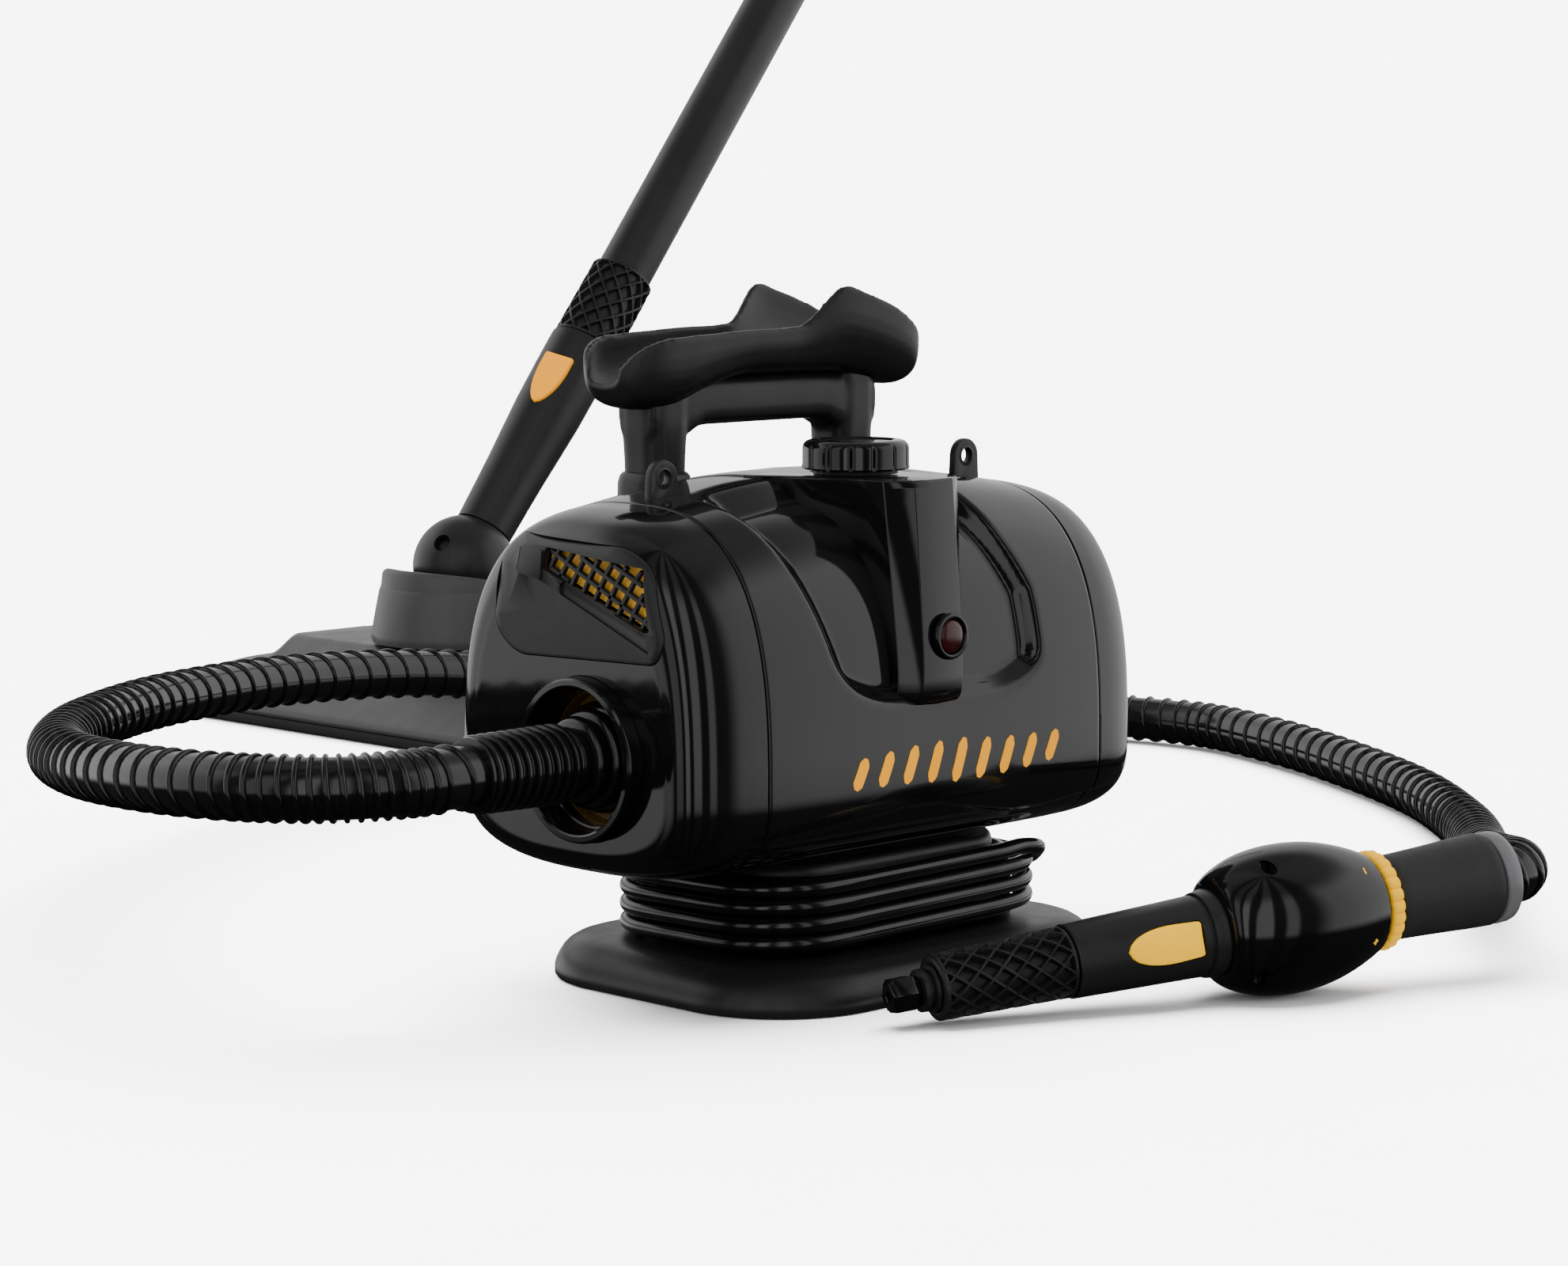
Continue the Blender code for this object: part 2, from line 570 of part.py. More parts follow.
skin(mesh, [
    [Vector((PLUG_X + hx * a, y, PLUG_Z + hz * b)) for a, b in ((-1, -0.6), (-0.6, -1), (0.6, -1), (1, -0.6),
                                                              (1, 0.6), (0.6, 1), (-0.6, 1), (-1, 0.6))]
    for y, hx, hz in ((0.0240, 0.0078, 0.0115), (0.0080, 0.0080, 0.0120), (-0.0020, 0.0075, 0.0100),
                      (-0.0100, 0.0050, 0.0060), (-0.0200, 0.0045, 0.0045))])
solid("mains_plug", mesh, rubber)
for index, pz in enumerate((0.0300, 0.0420)):
    mesh = bmesh.new()
    box(mesh, (PLUG_X - 0.0008, 0.0243, pz), (PLUG_X + 0.0008, 0.0420, pz + 0.0060))
    solid(f"plug_blade_{index + 1}", mesh, brass, False)

# ---------------------------------------------------------------- steam hose
tube_curve("steam_hose", HOSE_ROUTE, HOSE_D / 2, rubber, 3)

# ---------------------------------------------------------------- steam gun
FACE = Vector((-0.387, -0.907, 0.166))
FACE = (FACE - GUN_AXIS * FACE.dot(GUN_AXIS)).normalized()
BINORMAL = GUN_AXIS.cross(FACE).normalized()


def gun_point(s, n, b):
    return GUN_TIP + GUN_AXIS * s + FACE * n + BINORMAL * b


def gun_prism(name, outline, n0, n1, mat):
    """Prism whose outline is (along the gun, across it), standing along the button's direction."""
    return stack(name, [[gun_point(s, n, b) for s, b in outline] for n in (n0, n1)], mat)


def gun_lathe(name, profile, mat, count=24, loop=False):
    return lathe(name, profile, GUN_TIP, GUN_AXIS, mat, count, loop)


gun_lathe("gun_nozzle", ((0.0, 0.0088), (0.0110, 0.0088), (0.0120, 0.0068), (0.0217, 0.0068),
                         (0.0217, 0.0024), (0.0, 0.0024)), satin_black, 6, True)
gun_lathe("gun_heat_guard", ((0.0220, 0.0140), (0.0250, 0.0158), (0.0870, 0.0166), (0.0890, 0.0158),
                             (0.0890, 0.0128), (0.0220, 0.0128)), satin_black, 24, True)
gun_lathe("gun_steam_tube", tube_profile(0.0220, 0.1880, 0.0060, 0.0035), steel, 14, True)
barrel = gun_lathe("gun_barrel", ((0.0893, 0.0172), (0.1400, 0.0178), (0.1652, 0.0184), (0.1652, 0.0075),
                                  (0.0893, 0.0075)), satin_black, 32, True)
shield = ((0.1140, 0.0000), (0.1170, 0.0040), (0.1250, 0.0075), (0.1360, 0.0088), (0.1520, 0.0080),
          (0.1520, -0.0080), (0.1360, -0.0088), (0.1250, -0.0075), (0.1170, -0.0040))
wider = tuple((0.1330 + (s - 0.1330) * 1.018, b * 1.05) for s, b in shield)
pocket = gun_prism("button_pocket", wider, 0.0118, 0.0300, satin_black)
cut(barrel, pocket)
settle(barrel, [pocket])
gun_prism("gun_lock_button", shield, 0.0140, 0.0192, yellow)

shell = gun_lathe("gun_shell_top", (
    (0.1655, 0.0205), (0.1720, 0.0215), (0.1780, 0.0240), (0.1880, 0.0302), (0.2050, 0.0344), (0.2220, 0.0352),
    (0.2340, 0.0328), (0.2440, 0.0280), (0.2490, 0.0245), (0.2490, 0.0150), (0.2440, 0.0150), (0.2370, 0.0260),
    (0.2220, 0.0322), (0.1950, 0.0300), (0.1800, 0.0215), (0.1720, 0.0090), (0.1655, 0.0090),
), gloss_black, 32, True)
lower = bpy.data.objects.new("gun_shell_bottom", shell.data.copy())
bpy.context.collection.objects.link(lower)
wide = ((0.150, -0.06), (0.150, 0.06), (0.280, 0.06), (0.280, -0.06))
below = gun_prism("below_seam", wide, -0.060, GAP / 2, gloss_black)
above = gun_prism("above_seam", wide, -GAP / 2, 0.060, gloss_black)
slot = gun_prism("trigger_slot", ((0.1960, -0.0068), (0.1960, 0.0068), (0.2430, 0.0068), (0.2430, -0.0068)),
                 -0.0600, -0.0150, gloss_black)
screw_wells = bmesh.new()
WELLS = ((0.1760, 0.0180), (0.1900, -0.0245))
for s, b in WELLS:
    turned(screw_wells, ((0.0140, 0.0036), (0.0400, 0.0036)), gun_point(s, 0, b), FACE, 14)
wells = solid("gun_screw_wells", screw_wells, gloss_black)
cut(shell, below)
cut(shell, wells)
settle(shell, [below, wells])
cut(lower, above)
cut(lower, slot)
settle(lower, [above, slot])
for index, (s, b) in enumerate(WELLS):
    lathe(f"gun_screw_{index + 1}", ((0.0145, 0.0033), (0.0165, 0.0033), (0.0175, 0.0028)),
          gun_point(s, 0, b), FACE, steel, 12)
mesh = bmesh.new()
skin(mesh, [[gun_point(s, n, b) for n, b in ((-0.0120, -0.0080), (-0.0120, 0.0080), (0.0120, 0.0080),
                                            (0.0120, -0.0080))] for s in (0.1885, 0.2300)])
solid("gun_valve", mesh, brass, False)
TRIGGER = ((0.1975, -0.0250), (0.1975, -0.0330), (0.2050, -0.0400), (0.2180, -0.0425), (0.2320, -0.0415),
           (0.2410, -0.0385), (0.2410, -0.0270), (0.2200, -0.0265))
stack("steam_trigger", [[gun_point(s, n, b) for s, n in TRIGGER] for b in (-0.0062, 0.0062)], satin_black)

dial = bmesh.new()
dial_rings = []
for s, r in ((0.2495, 0.0225), (0.2510, 0.0250), (0.2560, 0.0250), (0.2575, 0.0230)):
    ring = []
    for j in range(48):
        a = 2 * math.pi * j / 48
        rr = r - (0.0012 if j % 4 in (0, 1) else 0.0)
        ring.append(gun_point(s, rr * math.cos(a), rr * math.sin(a)))
    dial_rings.append(ring)
inner = [[gun_point(s, 0.0080 * math.cos(2 * math.pi * j / 48), 0.0080 * math.sin(2 * math.pi * j / 48))
          for j in range(48)] for s in (0.2575, 0.2495)]
skin(dial, dial_rings + inner, True)
solid("steam_dial", dial, yellow)
gun_lathe("gun_spindle", ((0.2303, 0.0070), (0.2575, 0.0070)), brass, 16)
gun_lathe("gun_grip", ((0.2580, 0.0180), (0.2610, 0.0202), (0.2820, 0.0212), (0.3060, 0.0222), (0.3125, 0.0222),
                       (0.3140, 0.0205)), soft_black, 28)
gun_lathe("gun_end_collar", ((0.3143, 0.0205), (0.3160, 0.0222), (0.3215, 0.0218), (0.3235, 0.0200),
                             (0.3235, 0.0165), (0.3195, 0.0165), (0.3195, 0.0060), (0.3143, 0.0060)), grey_plastic, 28, True)

# ---------------------------------------------------------------- floor head
def head_ring(inset, z, per_corner=6):
    return rounded(HEAD_X - inset, HEAD_Y - inset, max(0.012, HEAD_R - inset), z, per_corner, (HEAD.x, HEAD.y))


stack("head_sole", [head_ring(0.006, 0.0), head_ring(0.004, 0.0020), head_ring(0.004, 0.0078)], dark_grey)
stack("head_cover", [
    head_ring(0.003, 0.0081), head_ring(0.0, 0.0100), head_ring(0.0, 0.0150), head_ring(0.004, 0.0165),
    head_ring(0.010, 0.0290), head_ring(0.020, 0.0400), head_ring(0.036, 0.0480), head_ring(0.056, 0.0525),
    head_ring(0.062, 0.0570),
], dark_grey)
lathe("swivel_collar", (
    (0.0573, 0.0640), (0.0610, 0.0650), (0.0800, 0.0615), (0.0940, 0.0585), (0.0960, 0.0560), (0.0960, 0.0346),
    (0.0840, 0.0276), (0.0760, 0.0185), (0.0730, 0.0140), (0.0573, 0.0140),
), (HEAD.x, HEAD.y, 0.0), (0, 0, 1), dark_grey, 32, True)
BALL_R = 0.0355
profile = [(BALL_R * math.sin(math.radians(a)), BALL_R * math.cos(math.radians(a))) for a in range(-78, 79, 12)]
lathe("ball_joint", profile, BALL, (0, 0, 1), satin_black, 24)


def wand_lathe(name, prof, mat, count=24, loop=False):
    return lathe(name, prof, BALL, WAND_AXIS, mat, count, loop)


neck_tube = wand_lathe("neck_tube", ((0.0296, 0.0205), (0.0800, 0.0220), (0.1300, 0.0245), (0.1880, 0.0250),
                                     (0.1880, 0.0150), (0.0328, 0.0150)), satin_black, 32, True)
WAND_FACE = Vector((-1.02, -0.38, 0.117))
WAND_FACE = (WAND_FACE - WAND_AXIS * WAND_FACE.dot(WAND_AXIS)).normalized()
WAND_BI = WAND_AXIS.cross(WAND_FACE).normalized()


def wand_point(s, n, b):
    return BALL + WAND_AXIS * s + WAND_FACE * n + WAND_BI * b


WSHIELD = ((0.1250, 0.0), (0.1290, 0.0050), (0.1390, 0.0092), (0.1510, 0.0108), (0.1650, 0.0112),
           (0.1650, -0.0112), (0.1510, -0.0108), (0.1390, -0.0092), (0.1290, -0.0050))
WIDER = tuple((0.1450 + (s - 0.1450) * 1.018, b * 1.04) for s, b in WSHIELD)
pocket = stack("wand_pocket", [[wand_point(s, n, b) for s, b in WIDER] for n in (0.0176, 0.0400)], satin_black)
cut(neck_tube, pocket)
settle(neck_tube, [pocket])
stack("wand_lock_button", [[wand_point(s, n, b) for s, b in WSHIELD] for n in (0.0200, 0.0262)], yellow)
wand_lathe("wand_heat_guard", tube_profile(0.1883, 0.2500, 0.0240, 0.0205), satin_black, 24, True)
wand_lathe("wand_socket", ((0.1883, 0.0200), (0.2500, 0.0185), (0.2500, 0.0120), (0.1883, 0.0120)), dark_grey, 20, True)
wand_lathe("lower_tube", tube_profile(0.2503, 0.6300, 0.0200, 0.0170), satin_black, 24, True)
wand_lathe("upper_tube", tube_profile(0.6303, WAND_END - 0.0503, 0.0195, 0.0165), satin_black, 24, True)
wand_lathe("wand_top_collar", ((WAND_END - 0.0500, 0.0210), (WAND_END - 0.0480, 0.0218), (WAND_END, 0.0218),
                               (WAND_END, 0.0135), (WAND_END - 0.0500, 0.0135)), satin_black, 24, True)
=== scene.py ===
"""Steam cleaner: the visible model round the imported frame. Metres, +Z up."""
import math

import bmesh
import bpy
import numpy as np
from mathutils import Matrix, Vector


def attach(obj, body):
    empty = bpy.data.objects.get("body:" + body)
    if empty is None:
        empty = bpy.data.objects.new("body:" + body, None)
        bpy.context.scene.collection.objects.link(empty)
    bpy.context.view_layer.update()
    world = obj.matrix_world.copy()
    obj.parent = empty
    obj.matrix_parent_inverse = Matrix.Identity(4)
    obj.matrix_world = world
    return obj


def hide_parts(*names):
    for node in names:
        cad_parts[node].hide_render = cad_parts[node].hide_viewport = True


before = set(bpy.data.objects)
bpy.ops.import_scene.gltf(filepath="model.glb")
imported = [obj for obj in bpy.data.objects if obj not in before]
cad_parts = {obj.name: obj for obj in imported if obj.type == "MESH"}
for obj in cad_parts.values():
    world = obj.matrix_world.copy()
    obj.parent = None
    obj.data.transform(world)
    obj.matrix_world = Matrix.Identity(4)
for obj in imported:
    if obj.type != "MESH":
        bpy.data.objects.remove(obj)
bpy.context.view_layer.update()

# ------------------------------------------------------------------ camera
CAMERA_AT = Vector((-1.357, -1.324, 0.385))
AZIMUTH, DOWN = math.radians(45.05), math.radians(6.73)
look = Vector((math.sin(AZIMUTH) * math.cos(DOWN), math.cos(AZIMUTH) * math.cos(DOWN), -math.sin(DOWN)))
side = Vector((math.cos(AZIMUTH), -math.sin(AZIMUTH), 0.0))
rise = side.cross(look)
camera = bpy.data.objects.new("camera", bpy.data.cameras.new("camera"))
bpy.context.scene.collection.objects.link(camera)
camera.matrix_world = Matrix((
    (side.x, rise.x, -look.x, CAMERA_AT.x), (side.y, rise.y, -look.y, CAMERA_AT.y),
    (side.z, rise.z, -look.z, CAMERA_AT.z), (0, 0, 0, 1)))
camera.data.lens = 90.82
camera.data.sensor_width = 36.0
camera.data.clip_end = 50.0
bpy.context.scene.camera = camera


# ------------------------------------------------------------------ materials
def node(tree, kind, **values):
    made = tree.nodes.new("ShaderNode" + kind)
    for key, value in values.items():
        made.inputs[key.replace("_", " ")].default_value = value
    return made


def join(tree, *links):
    for source, out, target, into in links:
        tree.links.new(source.outputs[out], target.inputs[into])


def ramp_of(tree, stops, blend="LINEAR"):
    made = node(tree, "ValToRGB")
    ramp = made.color_ramp
    ramp.interpolation = blend
    while len(ramp.elements) > 1:
        ramp.elements.remove(ramp.elements[0])
    ramp.elements[0].position, colour = stops[-1]
    ramp.elements[0].color = (*colour, 1.0)
    for position, colour in stops[:-1]:
        ramp.elements.new(position).color = (*colour, 1.0)
    return made


MOTTLE, SMEAR, WAVE = 14.0, 55.0, 22.0


def finish(name, colour, rough, metal=0.0, grain=0.05, grain_scale=1400.0, spread=0.03, tint=0.12,
           ripple=0.0, stretch=(1.0, 1.0, 1.0), specular=0.5):
    """Moulded or machined surface: mottled colour, uneven gloss and a fine bump."""
    made = bpy.data.materials.new(name)
    made.use_nodes = True
    tree = made.node_tree
    shader = tree.nodes["Principled BSDF"]
    shader.inputs["Metallic"].default_value = metal
    shader.inputs["Specular IOR Level"].default_value = specular
    place = node(tree, "TexCoord")
    scaled = node(tree, "Mapping", Scale=stretch)
    cloud = node(tree, "TexNoise", Scale=MOTTLE, Detail=4.0, Roughness=0.6)
    ramp = ramp_of(tree, ((0.3, [c * (1 - tint) for c in colour]), (0.7, [c * (1 + tint) for c in colour])))
    smear = node(tree, "TexNoise", Scale=SMEAR, Detail=5.0, Roughness=0.65)
    levels = node(tree, "MapRange", From_Min=0.3, From_Max=0.7, To_Min=max(0.02, rough - spread),
                  To_Max=rough + spread)
    fine = node(tree, "TexNoise", Scale=grain_scale, Detail=3.0, Roughness=0.55)
    bump = node(tree, "Bump", Strength=grain, Distance=0.0003)
    join(tree, (place, "Object", scaled, "Vector"), (cloud, "Fac", ramp, "Fac"), (ramp, "Color", shader, "Base Color"),
         (smear, "Fac", levels, "Value"), (levels, "Result", shader, "Roughness"), (fine, "Fac", bump, "Height"),
         *((scaled, "Vector", tex, "Vector") for tex in (cloud, smear, fine)))
    if ripple:
        wave = node(tree, "TexNoise", Scale=WAVE, Detail=1.0, Roughness=0.4)
        second = node(tree, "Bump", Strength=ripple, Distance=0.0008)
        join(tree, (scaled, "Vector", wave, "Vector"), (wave, "Fac", second, "Height"),
             (bump, "Normal", second, "Normal"))
        bump = second
    join(tree, (bump, "Normal", shader, "Normal"))
    return made


GLOSS = finish("gloss_black_shell", (0.004, 0.004, 0.0043), 0.075, grain=0.008, spread=0.02, ripple=0.015,
               specular=0.42)
SATIN = finish("satin_black_moulding", (0.009, 0.009, 0.0095), 0.34, grain=0.14, grain_scale=1800.0, spread=0.05,
               specular=0.32)
GREY = finish("satin_dark_grey_moulding", (0.032, 0.032, 0.034), 0.38, grain=0.14, grain_scale=1800.0, spread=0.05,
              specular=0.35)
GRIP = finish("soft_touch_grip", (0.016, 0.016, 0.017), 0.52, grain=0.3, grain_scale=2600.0, spread=0.06,
              specular=0.32)
COLLAR = finish("light_grey_collar", (0.1, 0.1, 0.105), 0.33, grain=0.1, spread=0.05)
YELLOW = finish("yellow_moulding", (0.98, 0.52, 0.0), 0.42, grain=0.08, spread=0.04, tint=0.05, specular=0.12)
AMBER_KEY = finish("amber_moulding", (0.96, 0.36, 0.0), 0.42, grain=0.08, spread=0.04, tint=0.06, specular=0.12)
MARK = finish("yellow_print", (0.96, 0.38, 0.0), 0.46, grain=0.05, spread=0.03, tint=0.04, specular=0.12)
AMBER = finish("amber_mesh", (0.8, 0.42, 0.04), 0.42, grain=0.45, grain_scale=700.0, spread=0.08, tint=0.25)
# dim amber for the inside of the hose port: a painted reflection standing in for amber glints on the inner wall
GLINT_PAINT = finish("painted_amber_glint", (0.1, 0.055, 0.008), 0.3, grain=0.2, grain_scale=700.0, spread=0.08, tint=0.35)
HOSE = finish("gloss_hose_rubber", (0.005, 0.005, 0.0053), 0.12, grain=0.02, grain_scale=1200.0, specular=0.45)
WIRE = finish("hose_wire_sheath", (0.007, 0.007, 0.0075), 0.13, grain=0.01, spread=0.02, specular=0.5)
CABLE = finish("gloss_cable_sheath", (0.0045, 0.0045, 0.0048), 0.14, grain=0.02, spread=0.03, specular=0.45)
RUBBER = finish("matt_black_rubber", (0.01, 0.01, 0.0105), 0.5, grain=0.25, grain_scale=1500.0, spread=0.06,
                specular=0.3)
STEEL = finish("turned_steel", (0.52, 0.52, 0.53), 0.26, metal=1.0, grain=0.1, grain_scale=600.0,
               stretch=(1.0, 1.0, 14.0))
BRASS = finish("turned_brass", (0.7, 0.5, 0.22), 0.24, metal=1.0, grain=0.08, grain_scale=600.0,
               stretch=(1.0, 1.0, 14.0))
CAST = finish("cast_aluminium", (0.6, 0.6, 0.61), 0.42, metal=1.0, grain=0.35, grain_scale=420.0)
DARK = finish("blackened_screw", (0.02, 0.02, 0.021), 0.3, metal=0.6, grain=0.08)
RED = finish("dark_red_lens", (0.026, 0.0022, 0.002), 0.2, grain=0.02, spread=0.02, tint=0.2, specular=0.4)


# ------------------------------------------------------------------ mesh helpers
class Shape:
    """Vertices and faces gathered from rows of points."""

    def __init__(self):
        self.points = []
        self.faces = []
        self.marks = []

    def rows(self, rows, loop=False):
        """Joins closed rings one to the next, with flat ends or, for a loop, the last to the first."""
        rows = [np.asarray([tuple(p) for p in row], float) for row in rows]
        start = len(self.points)
        count = len(rows[0])
        for row in rows:
            self.points.extend(map(tuple, row))
        steps = len(rows) if loop else len(rows) - 1
        for i in range(steps):
            a, b = start + i * count, start + ((i + 1) % len(rows)) * count
            for j in range(count):
                k = (j + 1) % count
                self.faces.append((a + j, a + k, b + k, b + j))
        if not loop:
            for base in (start, start + (len(rows) - 1) * count):
                self.faces.append(tuple(range(base, base + count)))
        return self

    def box(self, centre, axes, size):
        c = Vector(centre)
        x, y, z = [Vector(a) * (s / 2) for a, s in zip(axes, size)]
        return self.rows([[c - z - x - y, c - z + x - y, c - z + x + y, c - z - x + y],
                          [c + z - x - y, c + z + x - y, c + z + x + y, c + z - x + y]])

    def make(self, name):
        data = bpy.data.meshes.new(name)
        data.from_pydata(self.points, [], self.faces)
        made = bpy.data.objects.new(name, data)
        bpy.context.scene.collection.objects.link(made)
        mesh = bmesh.new()
        mesh.from_mesh(data)
        for face, mark in zip(mesh.faces, self.marks):
            face.material_index = mark
        bmesh.ops.recalc_face_normals(mesh, faces=mesh.faces)
        mesh.to_mesh(data)
        mesh.free()
        return made


def settle(obj):
    graph = bpy.context.evaluated_depsgraph_get()
    data = bpy.data.meshes.new_from_object(obj.evaluated_get(graph))
    obj.modifiers.clear()
    obj.data = data
    return obj


def carve(obj, *tools, how="DIFFERENCE"):
    """Cuts other shapes from obj, or joins them, and clears them away."""
    for tool in tools:
        mod = obj.modifiers.new("carve", "BOOLEAN")
        mod.operation = how
        mod.solver = "EXACT"
        mod.object = tool
    settle(obj)
    for tool in tools:
        bpy.data.objects.remove(tool, do_unlink=True)
    return obj


def soften(obj, width, segments=2, angle=32):
    mod = obj.modifiers.new("bevel", "BEVEL")
    mod.width = width
    mod.segments = segments
    mod.limit_method = "ANGLE"
    mod.angle_limit = math.radians(angle)
    mod.harden_normals = False
    return settle(obj)


def melt(obj, voxel, rounds):
    """Runs joined solids together with soft fillets."""
    mod = obj.modifiers.new("remesh", "REMESH")
    mod.mode = "VOXEL"
    mod.voxel_size = voxel
    mod = obj.modifiers.new("smooth", "SMOOTH")
    mod.factor = 0.5
    mod.iterations = rounds
    return settle(obj)


def piece(obj, body, slot, mats, *nodes, angle=32):
    mats = mats if isinstance(mats, (list, tuple)) else [mats]
    obj.data.materials.clear()
    for mat in mats:
        obj.data.materials.append(mat)
    obj.data.shade_smooth()
    obj.data.set_sharp_from_angle(angle=math.radians(angle))
    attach(obj, body)
    if nodes:
        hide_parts(*nodes)
    return obj


def sweep(points, steps):
    """Smooth line through points."""
    p = np.asarray([tuple(q) for q in points], float)
    p = np.vstack([2 * p[0] - p[1], p, 2 * p[-1] - p[-2]])
    t = (np.arange(steps) / steps)[:, None]
    out = []
    for i in range(1, len(p) - 2):
        a, b, c, d = p[i - 1:i + 3]
        out.append(0.5 * (2 * b + (c - a) * t + (2 * a - 5 * b + 4 * c - d) * t ** 2
                          + (3 * b - a - 3 * c + d) * t ** 3))
    return np.vstack(out + [p[-2]])


def sweep_flat(points, steps):
    """The same for pairs, as a list of pairs."""
    return [tuple(p[:2]) for p in sweep([(a, b, 0) for a, b in points], steps)]


def even(line, gap):
    """The same line in equal steps, and its length."""
    d = np.concatenate([[0], np.cumsum(np.linalg.norm(np.diff(line, axis=0), axis=1))])
    at = np.linspace(0, d[-1], max(2, int(round(d[-1] / gap)) + 1))
    return np.column_stack([np.interp(at, d, line[:, i]) for i in range(3)]), d[-1]


def frames_on(line):
    """Tangents and a turning-free pair of cross directions along a line."""
    tan = np.gradient(line, axis=0)
    tan /= np.linalg.norm(tan, axis=1)[:, None]
    n = np.cross(tan[0], (0.0, 0.0, 1.0))
    n /= np.linalg.norm(n)
    out = [n]
    for t in tan[1:]:
        n = n - t * (n @ t)
        n /= np.linalg.norm(n)
        out.append(n)
    out = np.array(out)
    return tan, out, np.cross(tan, out)


def tube_rows(line, radius, count=16):
    tan, n, b = frames_on(line)
    a = 2 * np.pi * np.arange(count) / count
    radius = np.broadcast_to(np.asarray(radius, float), (len(line),))
    return [line[i] + radius[i] * (np.cos(a)[:, None] * n[i] + np.sin(a)[:, None] * b[i]) for i in range(len(line))]


def basis(axis):
    axis = Vector(axis).normalized()
    s = axis.cross(Vector((0, 0, 1)))
    s = Vector((0, 1, 0)) if s.length < 1e-6 else s.normalized()
    return axis, s, s.cross(axis).normalized()


def turned_rows(profile, origin, axis, count=64, wave=None):
    axis, s, u = basis(axis)
    origin = Vector(origin)
    rows = []
    for along, r in profile:
        row = []
        for j in range(count):
            a = 2 * math.pi * j / count
            rr = r if wave is None else wave(along, r, a)
            row.append(origin + axis * along + s * (rr * math.cos(a)) + u * (rr * math.sin(a)))
        rows.append(row)
    return rows


def lathe(name, profile, origin, axis, count=64, loop=False, wave=None):
    return Shape().rows(turned_rows(profile, origin, axis, count, wave), loop=loop).make(name)


def corner_ring(hx, hy, r, z, per_corner=12, centre=(0.0, 0.0)):
    ring = []
    for cx, cy, start in ((hx - r, hy - r, 0), (r - hx, hy - r, 90), (r - hx, r - hy, 180), (hx - r, r - hy, 270)):
        for i in range(per_corner):
            a = math.radians(start + 90 * i / (per_corner - 1))
            ring.append((centre[0] + cx + r * math.cos(a), centre[1] + cy + r * math.sin(a), z))
    return ring


def fillet(outline, r, steps=5):
    """Rounds the corners of a flat outline."""
    out = []
    n = len(outline)
    for i in range(n):
        p, q, s = (Vector(outline[(i + k) % n]) for k in (-1, 0, 1))
        a, b = (p - q), (s - q)
        cut = min(r, a.length * 0.45, b.length * 0.45)
        a, b = q + a.normalized() * cut, q + b.normalized() * cut
        for k in range(steps + 1):
            t = k / steps
            out.append(tuple(a * (1 - t) ** 2 + q * 2 * t * (1 - t) + b * t * t))
    return out


def bent(t, power):
    """t raised to a power, keeping its sign."""
    return math.copysign(abs(t) ** power, t)


def ease(t):
    t = np.clip(t, 0.0, 1.0)
    return t * t * (3.0 - 2.0 * t)


# ------------------------------------------------------------------ cords
HOSE_D, CABLE_D = 0.031, 0.008
HOSE_ROUTE = (
    (-0.239, -0.012, 0.119), (-0.256, -0.012, 0.119), (-0.28, -0.009, 0.119), (-0.306, 0.008, 0.1185),
    (-0.325, 0.045, 0.1175), (-0.326, 0.105, 0.1145), (-0.302, 0.19, 0.1085), (-0.246, 0.29, 0.1),
    (-0.16, 0.39, 0.093), (-0.045, 0.475, 0.088), (0.09, 0.53, 0.082), (0.22, 0.545, 0.072),
    (0.35, 0.518, 0.052), (0.47, 0.488, 0.03), (0.58, 0.46, 0.0175), (0.66, 0.415, 0.016),
    (0.685, 0.33, 0.016), (0.662, 0.245, 0.016), (0.615, 0.15, 0.016), (0.548, 0.045, 0.016),
    (0.46, -0.05, 0.018), (0.36, -0.13, 0.027), (0.286, -0.185, 0.038), (0.243, -0.225, 0.0455),
    (0.2255, -0.243, 0.0485), (0.215, -0.249, 0.0488), (0.2077, -0.2475, 0.0479), (0.204, -0.246, 0.0475),
)
WIRE_D, TUBE_R, WIRE_PROUD = 0.0027, HOSE_D / 2 - 0.0017, 0.0016
LONG_PITCH, SHORT_PITCH, PITCH_PER_BEND = 0.019, 0.0058, 0.001


